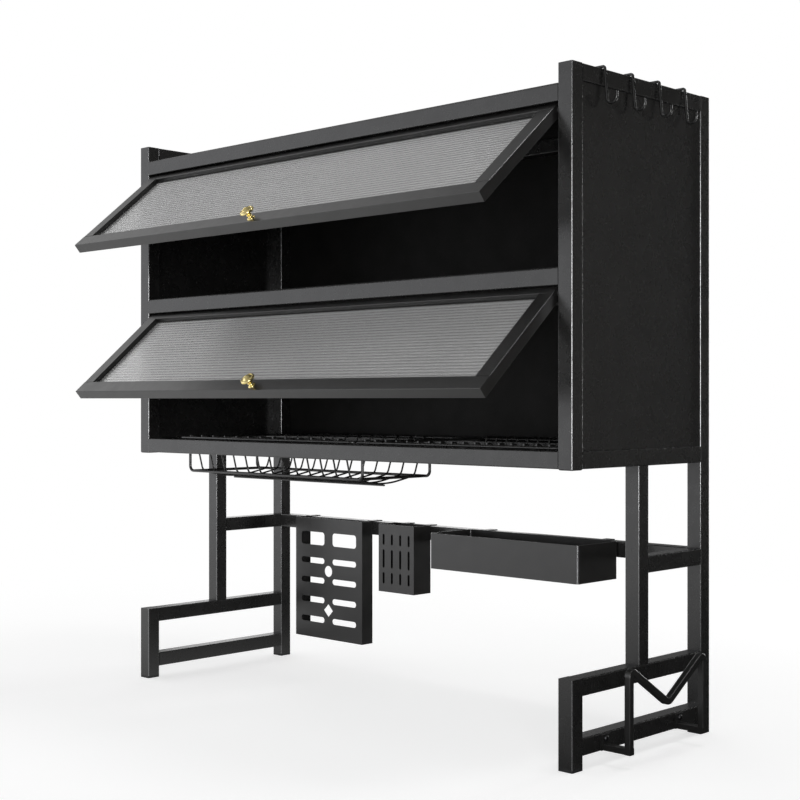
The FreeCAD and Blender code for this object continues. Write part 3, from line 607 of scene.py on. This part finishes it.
class Bench:
    """The modelling bench. Everything is put away before a new piece is started.

    Attributes:
        same_point: Distance in metres up to which two corners are one.
    """

    same_point: float = 0.000005

    @staticmethod
    def clear() -> None:
        """Leaves edit mode and deselects every object."""
        if bpy.context.object is not None and bpy.context.object.mode != "OBJECT":
            bpy.ops.object.mode_set(mode="OBJECT")
        bpy.ops.object.select_all(action="DESELECT")

    @staticmethod
    def pick(piece: bpy.types.Object) -> None:
        """Selects one piece alone and makes it the active one.

        Args:
            piece: The object.
        """
        Bench.clear()
        piece.select_set(True)
        bpy.context.view_layer.objects.active = piece

    @staticmethod
    def disc(radius: float, sides: int) -> None:
        """Starts a piece from a filled disc at the origin and opens it for editing, all selected.

        Args:
            radius: Radius in metres.
            sides: Number of corners.
        """
        Bench.clear()
        bpy.ops.mesh.primitive_circle_add(vertices=sides, radius=radius, fill_type="NGON")
        bpy.ops.object.mode_set(mode="EDIT")
        bpy.ops.mesh.select_mode(type="FACE")
        bpy.ops.mesh.select_all(action="SELECT")

    @staticmethod
    def raise_rings(rings: Sequence[Ring]) -> None:
        """Draws the selected disc up along Z through a row of rings.

        Args:
            rings: Height and radius of each ring, the first being the disc itself.
        """
        for (low, inner), (high, outer) in zip(rings, rings[1:]):
            bpy.ops.mesh.extrude_region_move(TRANSFORM_OT_translate={"value": (0, 0, high - low)})
            share = outer / inner
            bpy.ops.transform.resize(value=(share, share, 1), center_override=(0, 0, high))

    @staticmethod
    def close() -> bpy.types.Object:
        """Merges doubles, turns the faces outward and leaves edit mode.

        Returns:
            The object, in object mode.
        """
        bpy.ops.mesh.select_all(action="SELECT")
        bpy.ops.mesh.remove_doubles(threshold=Bench.same_point)
        bpy.ops.mesh.normals_make_consistent(inside=False)
        bpy.ops.object.mode_set(mode="OBJECT")
        return bpy.context.object

    @staticmethod
    def settle(piece: bpy.types.Object, place: Matrix) -> None:
        """Puts the mesh in its place and leaves its object at the origin.

        Args:
            piece: The object.
            place: Where the mesh goes.
        """
        piece.data.transform(piece.matrix_basis)
        piece.matrix_basis = Matrix.Identity(4)
        piece.data.transform(place)

    @staticmethod
    def smooth(piece: bpy.types.Object, degrees: float) -> None:
        """Shades a piece smooth, with edges sharper than the angle kept."""
        Bench.pick(piece)
        bpy.ops.object.shade_smooth_by_angle(angle=math.radians(degrees))

    @staticmethod
    def refine(piece: bpy.types.Object, kind: str, **settings: object) -> None:
        """Adds a modifier and applies it.

        Args:
            piece: The object.
            kind: Type of the modifier.
            **settings: Its settings.
        """
        Bench.pick(piece)
        modifier = piece.modifiers.new(kind.lower(), kind)
        for name, value in settings.items():
            setattr(modifier, name, value)
        bpy.ops.object.modifier_apply(modifier=modifier.name)

    @staticmethod
    def copy(piece: bpy.types.Object, place: Matrix) -> bpy.types.Object:
        """Copies a piece, mesh and all, to another place.

        Args:
            piece: The object.
            place: Where the copy's mesh goes.

        Returns:
            The copy.
        """
        twin = piece.copy()
        twin.data = piece.data.copy()
        twin.data.transform(place)
        bpy.context.scene.collection.objects.link(twin)
        return twin

    @staticmethod
    def join(pieces: Sequence[bpy.types.Object]) -> bpy.types.Object:
        """Joins pieces into the first one.

        Args:
            pieces: The objects.

        Returns:
            The first of them.
        """
        Bench.clear()
        for piece in pieces:
            piece.select_set(True)
        bpy.context.view_layer.objects.active = pieces[0]
        bpy.ops.object.join()
        return bpy.context.object

    @staticmethod
    def deliver(
        piece: bpy.types.Object, name: str, finish: bpy.types.Material, body: str, slot: str
    ) -> None:
        """Names a finished piece, gives it its finish and lets it ride on its body.

        Args:
            piece: The object.
            name: Its name.
            finish: Its material.
            body: The body that it moves with.
            slot: The material slot of the record; not used.
        """
        piece.name = piece.data.name = name
        piece.data.materials.clear()
        piece.data.materials.append(finish)
        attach(piece, body)
        LOG.info("made %s with %d faces", name, len(piece.data.polygons))


def dress(
    nodes: dict[str, bpy.types.Object], names: Iterable[str], finish: bpy.types.Material
) -> None:
    """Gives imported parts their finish.

    Args:
        nodes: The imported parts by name.
        names: The parts to dress.
        finish: The material for all their slots.
    """
    for name in names:
        for slot in nodes[name].material_slots:
            slot.material = finish
        LOG.info("dressed %s in %s", name, finish.name)


@dataclass
class SteelFrame:
    """The welded square-tube frame with its folded panels, shelves, caps, plugs and rivets.

    Attributes:
        nodes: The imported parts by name.
        tube: Width of the square tube; this and the other lengths are in metres.
        plug_play: How much narrower than the tube a plug is.
        plug_reach: How far a plug stands out of the tube.
        plug_corner: Radius of its upright corners.
        plug_slope: How far its rim slopes in.
        plug_rim: Width of the rim round its hollow.
        plug_edge: Width of its bevelled edges.
        rivet_radius: Radius of a rivet head.
        rivet_rise: Height of a rivet head.
        rivet_pitch: Distance from rivet to rivet, about.
        rivet_inset: Distance from the edge of the panel to the middle of a rivet.
        rivet: Height and radius of its rings, as shares of the above.
        sides: The two sides of the frame.
        tubes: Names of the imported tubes.
    """

    nodes: dict[str, bpy.types.Object]
    tube: float = 0.025
    plug_play: float = 0.0006
    plug_reach: float = 0.0015
    plug_corner: float = 0.0022
    plug_slope: float = 0.0012
    plug_rim: float = 0.005
    plug_edge: float = 0.0003
    rivet_radius: float = 0.0032
    rivet_rise: float = 0.00045
    rivet_pitch: float = 0.115
    rivet_inset: float = 0.006
    rivet: tuple[Ring, ...] = (
        (0.0, 1.0),
        (0.5, 1.0),
        (0.85, 0.86),
        (1.0, 0.6),
        (1.0, 0.36),
        (0.4, 0.3),
    )
    sides: tuple[str, str] = ("left", "right")
    tubes: list[str] = field(default_factory=list)

    def __post_init__(self) -> None:
        """Lists the tubes of the frame."""
        for side in self.sides:
            self.tubes += [f"post_front_{side}", f"post_rear_{side}"]
            self.tubes += [f"foot_post_{side}", f"mid_post_{side}", f"cross_bar_{side}"]
            self.tubes += [f"rail_side_top_{side}", f"rail_side_bottom_{side}"]
            self.tubes += [f"foot_bar_upper_{side}", f"foot_bar_lower_{side}"]
        for level in ("top", "middle", "bottom"):
            self.tubes += [f"rail_front_{level}", f"rail_rear_{level}"]
        self.tubes.append("hanging_rail")

    def build(self) -> None:
        """Dresses the steelwork and adds its small parts."""
        dress(self.nodes, self.tubes, PowderCoat("frame_coat").make())
        panels = [f"panel_side_{side}" for side in self.sides]
        dress(self.nodes, panels, PowderCoat("panel_coat", peel=0.000015).make())
        sheet = PowderCoat(
            "sheet_coat", smooth=0.48, rough=0.56, shine=0.15, peel=0.000015, edges=Edges.NONE
        ).make()
        dress(self.nodes, ["panel_back", "shelf_top", "shelf_middle"], sheet)
        moulded = MouldedPolymer("cap_polymer").make()
        dress(self.nodes, ["foot_caps"], moulded)
        acetal = MouldedPolymer(
            "bush_acetal",
            colour=(0.035, 0.035, 0.036),
            worn=(0.06, 0.06, 0.06),
            smooth=0.32,
            rough=0.45,
            depth=0.00001,
        )
        dress(self.nodes, ["hinge_bushes"], acetal.make())
        self.plugs(moulded)
        self.rivets(sheet)

    def plugs(self, finish: bpy.types.Material) -> None:
        """Models the push-in plugs under the two front posts.

        Args:
            finish: Their material.
        """
        half = self.plug_reach / 2
        for side in self.sides:
            low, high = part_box(f"post_front_{side}")
            Bench.clear()
            bpy.ops.mesh.primitive_plane_add(size=self.tube - self.plug_play)
            bpy.ops.object.mode_set(mode="EDIT")
            bpy.ops.mesh.select_all(action="SELECT")
            bpy.ops.mesh.extrude_region_move(TRANSFORM_OT_translate={"value": (0, 0, -half)})
            bpy.ops.mesh.inset(thickness=self.plug_slope, depth=0)
            bpy.ops.transform.translate(value=(0, 0, -half))
            bpy.ops.mesh.inset(thickness=self.plug_rim, depth=0)
            bpy.ops.transform.translate(value=(0, 0, half))
            piece = Bench.close()
            self.round_corners(piece.data)
            Bench.refine(piece, "BEVEL", width=self.plug_edge, segments=2, limit_method="ANGLE")
            middle = (low + high) / 2
            Bench.settle(piece, Matrix.Translation((middle.x, middle.y, low.z)))
            Bench.smooth(piece, 35)
            Bench.deliver(piece, f"post_plug_{side}", finish, "frame", "foot_cap")

    def round_corners(self, plug: bpy.types.Mesh) -> None:
        """Rounds the four outer corners of a plug, as the tube is rounded.

        Args:
            plug: Mesh of the plug, with its middle at the origin.
        """
        mesh = bmesh.new()
        mesh.from_mesh(plug)
        corners = []
        for edge in mesh.edges:
            start, end = (vertex.co for vertex in edge.verts)
            if abs(start.z - end.z) > Bench.same_point and start.xy.length > self.tube * 0.6:
                corners.append(edge)
        bmesh.ops.bevel(
            mesh, geom=corners, offset=self.plug_corner, segments=4, profile=0.5, affect="EDGES"
        )
        mesh.to_mesh(plug)
        mesh.free()

    def rivets(self, finish: bpy.types.Material) -> None:
        """Models the flat rivets that hold the back panel to the rear posts and rails.

        Args:
            finish: Their material.
        """
        low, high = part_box("panel_back")
        rise, radius = self.rivet_rise, self.rivet_radius
        Bench.disc(radius, sides=20)
        Bench.raise_rings([(rise * height, radius * width) for height, width in self.rivet])
        first = Bench.close()
        upright = Matrix.Rotation(math.radians(-90), 4, "X")
        left, right = low.x + self.rivet_inset, high.x - self.rivet_inset
        bottom, top = low.z + self.rivet_inset, high.z - self.rivet_inset
        columns = round((right - left) / self.rivet_pitch)
        rows = round((top - bottom) / self.rivet_pitch)
        spots = []
        for n in range(columns + 1):
            x = left + (right - left) * n / columns
            spots += [(x, bottom), (x, top)]
        for n in range(1, rows):
            z = bottom + (top - bottom) * n / rows
            spots += [(left, z), (right, z)]
        copies = [Bench.copy(first, Matrix.Translation((x, high.y, z)) @ upright) for x, z in spots]
        bpy.data.objects.remove(first)
        piece = Bench.join(copies)
        Bench.smooth(piece, 40)
        Bench.deliver(piece, "back_panel_rivets", finish, "frame", "panel_steel")


@dataclass
class FlipDoor:
    """One flip-up door: a slim coated frame round a reeded pane, with a turned knob.

    Attributes:
        nodes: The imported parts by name.
        level: Which of the two doors it is.
        lean: Angle in degrees by which it stands open at rest.
        knob_length: How far the knob stands off the rail, in metres.
        knob_tip: Part of that length whose middle lies on the knob's axis, in metres.
        rings: Height and radius of the knob's rings from the rail outward, in millimetres.
    """

    nodes: dict[str, bpy.types.Object]
    level: str
    lean: float
    knob_length: float = 0.020
    knob_tip: float = 0.004
    rings: tuple[Ring, ...] = (
        (0.0, 6.75), (0.9, 6.75), (1.5, 6.4), (2.1, 5.4), (2.5, 4.0), (4.0, 3.2), (4.8, 3.2),
        (5.2, 4.2), (6.1, 4.8), (7.0, 4.2), (7.4, 3.2), (8.6, 3.7), (9.8, 5.4), (10.8, 8.8),
        (11.4, 11.0), (12.2, 11.8), (13.2, 12.0), (14.4, 11.8), (15.4, 11.1), (15.9, 10.1),
        (15.8, 9.2), (15.2, 8.5), (15.3, 8.0), (16.6, 7.0), (17.9, 5.3), (18.9, 3.4),
        (19.6, 1.7), (19.8, 0.6),
    )

    @property
    def name(self) -> str:
        """Name of the door and of its body."""
        return f"door_{self.level}"

    def build(self) -> None:
        """Dresses the door and adds its knob."""
        sides = ("top_rail", "bottom_rail", "left_stile", "right_stile")
        coat = PowderCoat(
            f"{self.name}_coat", smooth=0.31, rough=0.36, peel=0.000012, lean=self.lean
        )
        dress(self.nodes, [f"{self.name}_{side}" for side in sides], coat.make())
        pane = ReededGlass(f"{self.name}_pane", self.lean)
        dress(self.nodes, [f"{self.name}_glass"], pane.make())
        seal = MouldedPolymer(
            f"{self.name}_seal",
            colour=(0.010, 0.010, 0.010),
            worn=(0.02, 0.02, 0.02),
            smooth=0.55,
            rough=0.75,
        )
        dress(self.nodes, [f"{self.name}_gasket"], seal.make())
        zinc = PlatedSteel(f"{self.name}_pin_zinc")
        dress(self.nodes, [f"{self.name}_hinge_pins"], zinc.make())
        self.knob()

    def foot_of_knob(self) -> Vector:
        """Finds where the knob's axis leaves the face of the bottom rail.

        Returns:
            The point.
        """
        axis = self.axis()
        points = [vertex.co for vertex in self.nodes[f"{self.name}_knob"].data.vertices]
        reach = max(point.dot(axis) for point in points)
        tip = [point for point in points if point.dot(axis) > reach - self.knob_tip]
        middle = sum(tip, Vector()) / len(tip)
        low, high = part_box(f"{self.name}_knob")
        middle.x = (low.x + high.x) / 2
        return middle + axis * (reach - self.knob_length - middle.dot(axis))

    def axis(self) -> Vector:
        """Direction in which the knob points."""
        lean = math.radians(self.lean)
        return Vector((0, -math.cos(lean), math.sin(lean)))

    def knob(self) -> None:
        """Models the knob ring by ring, as a lathe cuts it, and stands it on the bottom rail."""
        rings = [(height * MILLIMETRE, radius * MILLIMETRE) for height, radius in self.rings]
        Bench.disc(rings[0][1], sides=48)
        Bench.raise_rings(rings)
        piece = Bench.close()
        foot = self.foot_of_knob()
        tilt = Vector((0, 0, 1)).rotation_difference(self.axis()).to_matrix().to_4x4()
        Bench.settle(piece, Matrix.Translation(foot) @ tilt)
        Bench.smooth(piece, 50)
        brass = TurnedBrass(f"{self.name}_brass", tuple(foot), 90 - self.lean)
        Bench.deliver(piece, f"{self.name}_turned_knob", brass.make(), self.name, "knob_brass")
        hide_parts(f"{self.name}_knob")


@dataclass
class WireWare:
    """The welded dish basket and plate rack, dipped in black."""

    nodes: dict[str, bpy.types.Object]

    def build(self) -> None:
        """Dresses both wire racks."""
        dipped = PowderCoat(
            "dipped_wire", smooth=0.24, rough=0.32, dust_share=0.05, edges=Edges.NONE
        )
        dress(self.nodes, ["dish_basket", "plate_rack"], dipped.make())


@dataclass
class HungBoxes:
    """The folded sheet boxes on the hanging rail."""

    nodes: dict[str, bpy.types.Object]

    def build(self) -> None:
        """Dresses the knife rack, the chopstick box and the tray."""
        coat = PowderCoat("box_coat", smooth=0.30, rough=0.36, peel=0.000015).make()
        dress(self.nodes, ["knife_rack", "chopstick_box", "sponge_tray"], coat)


@dataclass
class HooksAndHolder:
    """The four rail hooks, the board holder and its two bolts.

    Attributes:
        nodes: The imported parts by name.
        shank: Radius of a bolt's shank, in metres.
        grip: Length of the shank, in metres.
        head_radius: Radius of the button head, in metres.
        head: Height above the shank in metres, and share of the radius, of the head's rings.
        socket: Half the width across the flats of the hexagon socket, in metres.
        socket_start: Radius of the ring that becomes the hexagon, as a share of the half width.
        socket_depth: Depth of the socket, in metres.
    """

    nodes: dict[str, bpy.types.Object]
    shank: float = 0.0025
    grip: float = 0.012
    head_radius: float = 0.0045
    head: tuple[Ring, ...] = (
        (0.0, 1.0),
        (0.0006, 1.0),
        (0.0020, 0.93),
        (0.0027, 0.76),
        (0.0030, 0.62),
    )
    socket: float = 0.0016
    socket_start: float = 1.25
    socket_depth: float = 0.0016

    def build(self) -> None:
        """Dresses the bent bars and models the bolts."""
        gloss = PowderCoat("hook_gloss", smooth=0.14, rough=0.22, dust_share=0.04, edges=Edges.NONE)
        dress(self.nodes, [f"hook_{n}" for n in (1, 2, 3, 4)], gloss.make())
        bent = PowderCoat("holder_coat", smooth=0.28, rough=0.34, edges=Edges.NONE)
        dress(self.nodes, ["board_holder"], bent.make())
        self.bolts()

    def bolts(self) -> None:
        """Models the button-head bolts with their hexagon sockets, in place of the plain ones."""
        low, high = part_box("holder_bolts")
        head = [(self.grip + height, self.head_radius * share) for height, share in self.head]
        shank = [(0, self.shank), (self.grip, self.shank)]
        socket = [(head[-1][0], self.socket * self.socket_start)]
        Bench.disc(self.shank, sides=24)
        Bench.raise_rings(shank + head + socket)
        self.square_socket(bpy.context.object.data)
        deeper = (0, 0, -self.socket_depth)
        bpy.ops.mesh.extrude_region_move(TRANSFORM_OT_translate={"value": deeper})
        piece = Bench.close()
        sideways = Matrix.Rotation(math.radians(90), 4, "Y")
        height = (low.z + high.z) / 2
        copies = [
            Bench.copy(piece, Matrix.Translation((low.x, y, height)) @ sideways)
            for y in (low.y + self.head_radius, high.y - self.head_radius)
        ]
        bpy.data.objects.remove(piece)
        piece = Bench.join(copies)
        Bench.smooth(piece, 35)
        oxide = PlatedSteel(
            "black_oxide",
            colour=(0.09, 0.09, 0.095),
            stain=(0.05, 0.05, 0.05),
            smooth=0.30,
            rough=0.48,
        )
        Bench.deliver(piece, "socket_bolts", oxide.make(), "frame", "bolt")
        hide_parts("holder_bolts")

    def square_socket(self, bolt: bpy.types.Mesh) -> None:
        """Moves the selected ring of a bolt in edit mode onto the socket's hexagon.

        Args:
            bolt: Mesh of the bolt, with its axis on Z.
        """
        mesh = bmesh.from_edit_mesh(bolt)
        for vertex in (v for v in mesh.verts if v.select):
            angle = math.atan2(vertex.co.y, vertex.co.x)
            reach = self.socket / math.cos((angle % math.radians(60)) - math.radians(30))
            vertex.co.x, vertex.co.y = reach * math.cos(angle), reach * math.sin(angle)
        bmesh.update_edit_mesh(bolt)


@dataclass(frozen=True)
class Softbox:
    """A studio lamp: a soft rectangle that looks at the rack and shows only in what it lights.

    Attributes:
        name: Its name.
        direction: Where it hangs, seen from its target.
        distance: How far from the target, in metres.
        width: Its width, in metres.
        height: Its height, in metres.
        brightness: Brightness of its face.
        colour: Colour of its light.
    """

    name: str
    direction: Point
    distance: float
    width: float
    height: float
    brightness: float
    colour: Colour = WHITE

    def build(self, target: Vector) -> None:
        """Hangs the lamp.

        Args:
            target: Point that it looks at.
        """
        data = bpy.data.lights.new(self.name, "AREA")
        data.shape = "RECTANGLE"
        data.size, data.size_y = self.width, self.height
        data.energy = self.brightness * self.width * self.height * math.pi
        data.color = self.colour
        lamp = bpy.data.objects.new(self.name, data)
        bpy.context.scene.collection.objects.link(lamp)
        away = Vector(self.direction).normalized()
        lamp.location = target + away * self.distance
        lamp.rotation_euler = away.to_track_quat("Z", "Y").to_euler()
        lamp.visible_camera = False
        lamp.visible_transmission = False


@dataclass
class Studio:
    """The pale floor, the white surroundings and the lamps.

    Attributes:
        target: Point that the lamps look at.
        lamps: The lamps.
        floor_size: Radius of the floor, in metres.
        floor_fade: Distances from the middle between which the floor turns white.
        floor_tone: Share of light that the floor throws back to the camera.
        floor_glow: Brightness that the floor has without light.
        floor_bounce: Share of light that the floor throws back onto the rack.
        floor_bright: Brightness of the floor in what mirrors it, on the bright side.
        floor_fall: Distances toward the dark side between which that brightness falls.
        dark_side: Direction in which floor and surroundings darken.
        bright: Brightness of the surroundings on the bright side.
        dim: Brightness of both on the dark side.
        fall: Part of the direction toward the dark side over which the surroundings darken.
    """

    target: Vector = field(default_factory=lambda: Vector((0, 0, 0.5)))
    lamps: tuple[Softbox, ...] = (
        Softbox("front_left", (-0.69, -0.72, 0.02), 3.2, 2.8, 2.8, 0.86, (0.97, 0.98, 1.02)),
        Softbox("upper_left", (-0.740, -0.121, 0.672), 2.83, 1.1, 2.0, 0.93),
        Softbox("near_camera", (0.70, -0.71, 0.08), 3.4, 1.5, 1.2, 8.0),
        Softbox("rear_left", (-0.72, 0.66, 0.22), 3.2, 1.4, 1.4, 1.6),
        Softbox("behind", (0.13, 0.99, 0.06), 3.2, 0.8, 2.2, 8.0),
        Softbox("overhead", (0.34, 0.10, 0.93), 2.6, 0.7, 0.7, 7.0),
        Softbox("right_rear", (0.758, 0.652, 0.0), 3.37, 1.1, 2.7, 0.13, (1.03, 1.0, 0.95)),
    )
    floor_size: float = 8.0
    floor_fade: Span = (0.7, 1.9)
    floor_tone: float = 0.62
    floor_glow: float = 0.62
    floor_bounce: float = 0.8
    floor_bright: float = 0.85
    floor_fall: Span = (-0.9, 0.3)
    dark_side: Point = (0.69, 0.72, 0.0)
    bright: float = 0.40
    dim: float = 0.04
    fall: Span = (-0.6, 0.7)

    def build(self) -> None:
        """Sets up everything round the rack."""
        for lamp in self.lamps:
            lamp.build(self.target)
        self.floor()
        self.surroundings()
        bpy.context.scene.view_settings.view_transform = "Standard"

    def floor(self) -> None:
        """Lays the floor, which keeps the shadow near the rack and turns white further out."""
        Bench.clear()
        bpy.ops.mesh.primitive_circle_add(vertices=96, radius=self.floor_size, fill_type="NGON")
        ground = bpy.context.object
        ground.name = "floor"
        material = bpy.data.materials.new("pale_floor")
        material.use_nodes = True
        tree = material.node_tree
        tree.nodes.clear()
        add, link = tree.nodes.new, tree.links.new
        place = add("ShaderNodeTexCoord").outputs["Object"]
        path = add("ShaderNodeLightPath")
        length = add("ShaderNodeVectorMath")
        length.operation = "LENGTH"
        link(place, length.inputs[0])
        fade = add("ShaderNodeMapRange")
        fade.interpolation_type = "SMOOTHSTEP"
        link(length.outputs["Value"], fade.inputs["Value"])
        for name, distance in zip(("From Min", "From Max"), self.floor_fade):
            fade.inputs[name].default_value = distance
        glow = add("ShaderNodeEmission")
        glow.inputs["Strength"].default_value = self.floor_glow
        both = add("ShaderNodeAddShader")
        link(self.matt(tree, self.floor_tone), both.inputs[0])
        link(glow.outputs[0], both.inputs[1])
        white = add("ShaderNodeEmission").outputs[0]
        seen = self.mixed(tree, fade.outputs["Result"], both.outputs[0], white)
        mirrored = add("ShaderNodeEmission")
        level = self.falling_off(tree, place, self.floor_fall, self.floor_bright)
        link(level, mirrored.inputs["Strength"])
        matt = self.matt(tree, self.floor_bounce)
        unseen = self.mixed(tree, path.outputs["Is Glossy Ray"], matt, mirrored.outputs[0])
        result = self.mixed(tree, self.seen_directly(tree, path), unseen, seen)
        link(result, add("ShaderNodeOutputMaterial").inputs["Surface"])
        ground.data.materials.append(material)
        ground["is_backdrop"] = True

    @staticmethod
    def matt(tree: bpy.types.NodeTree, tone: float) -> bpy.types.NodeSocket:
        """A matt grey surface.

        Args:
            tree: The nodes to add to.
            tone: Share of light that it throws back.

        Returns:
            The shader socket.
        """
        made = tree.nodes.new("ShaderNodeBsdfDiffuse")
        made.inputs["Color"].default_value = (tone, tone, tone, 1)
        return made.outputs[0]

    @staticmethod
    def mixed(
        tree: bpy.types.NodeTree,
        share: bpy.types.NodeSocket,
        first: bpy.types.NodeSocket,
        second: bpy.types.NodeSocket,
    ) -> bpy.types.NodeSocket:
        """Mixes two shaders.

        Args:
            tree: The nodes to add to.
            share: Share of the second shader.
            first: First shader.
            second: Second shader.

        Returns:
            The socket with the mixed shader.
        """
        made = tree.nodes.new("ShaderNodeMixShader")
        for socket, source in zip(made.inputs, (share, first, second)):
            tree.links.new(source, socket)
        return made.outputs[0]

    def falling_off(
        self, tree: bpy.types.NodeTree, place: bpy.types.NodeSocket, span: Span, bright: float
    ) -> bpy.types.NodeSocket:
        """Brightness that falls toward the dark side of the studio.

        Args:
            tree: The nodes to add to.
            place: Point or direction to measure.
            span: Distances toward the dark side at which it starts to fall and is lowest.
            bright: Brightness before it falls.

        Returns:
            The brightness.
        """
        toward = tree.nodes.new("ShaderNodeVectorMath")
        toward.operation = "DOT_PRODUCT"
        tree.links.new(place, toward.inputs[0])
        toward.inputs[1].default_value = self.dark_side
        level = tree.nodes.new("ShaderNodeMapRange")
        tree.links.new(toward.outputs["Value"], level.inputs["Value"])
        names = ("From Min", "From Max", "To Min", "To Max")
        for name, value in zip(names, (*span, bright, self.dim)):
            level.inputs[name].default_value = value
        return level.outputs["Result"]

    @staticmethod
    def seen_directly(tree: bpy.types.NodeTree, path: bpy.types.Node) -> bpy.types.NodeSocket:
        """One for rays of the camera, straight or through glass, otherwise zero.

        Args:
            tree: The nodes to add to.
            path: The light path node.

        Returns:
            The socket with the number.
        """
        either = tree.nodes.new("ShaderNodeMath")
        either.operation = "MAXIMUM"
        tree.links.new(path.outputs["Is Camera Ray"], either.inputs[0])
        tree.links.new(path.outputs["Is Transmission Ray"], either.inputs[1])
        result = either.outputs[0]
        for turned_back in ("Diffuse Depth", "Glossy Depth"):
            straight = tree.nodes.new("ShaderNodeMath")
            straight.operation = "SUBTRACT"
            straight.use_clamp = True
            tree.links.new(result, straight.inputs[0])
            tree.links.new(path.outputs[turned_back], straight.inputs[1])
            result = straight.outputs[0]
        return result

    def surroundings(self) -> None:
        """Makes the world white to the camera and a soft gradient to the lit surfaces."""
        world = bpy.data.worlds.new("studio")
        bpy.context.scene.world = world
        world.use_nodes = True
        tree = world.node_tree
        tree.nodes.clear()
        add, link = tree.nodes.new, tree.links.new
        soft, white = add("ShaderNodeBackground"), add("ShaderNodeBackground")
        for backdrop in (soft, white):
            backdrop.inputs["Color"].default_value = (*WHITE, 1)
        direction = add("ShaderNodeTexCoord").outputs["Generated"]
        link(self.falling_off(tree, direction, self.fall, self.bright), soft.inputs["Strength"])
        clear = self.seen_directly(tree, add("ShaderNodeLightPath"))
        result = self.mixed(tree, clear, soft.outputs[0], white.outputs[0])
        link(result, add("ShaderNodeOutputWorld").inputs["Surface"])


@dataclass(frozen=True)
class Viewpoint:
    """The camera: level, to the right of the rack and in front of it."""

    place: Point = (1.7000, -1.7573, 0.5142)
    heading: float = 44.02
    lens: float = 64.55

    def build(self) -> None:
        """Creates the camera and makes it the scene's."""
        data = bpy.data.cameras.new("viewpoint")
        data.lens = self.lens
        camera = bpy.data.objects.new("viewpoint", data)
        camera.location = self.place
        camera.rotation_euler = (math.radians(90), 0, math.radians(self.heading))
        bpy.context.scene.collection.objects.link(camera)
        bpy.context.scene.camera = camera


def corners() -> list[list[float]]:
    """Lowest and highest corner of the shown rack, as plain lists."""
    return [list(corner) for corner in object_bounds()]


def main() -> None:
    """Loads the frame, sets up the camera and the studio, and builds every assembly in order."""
    logging.basicConfig(level=logging.INFO, format="%(name)s: %(message)s")
    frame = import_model()
    nodes = frame["nodes"]
    Viewpoint().build()
    Studio().build()
    assemblies = (
        SteelFrame(nodes),
        FlipDoor(nodes, "upper", lean=50.0),
        FlipDoor(nodes, "lower", lean=49.2),
        WireWare(nodes),
        HungBoxes(nodes),
        HooksAndHolder(nodes),
    )
    for assembly in assemblies:
        assembly.build()
    Bench.clear()


if __name__ == "__main__":
    main()
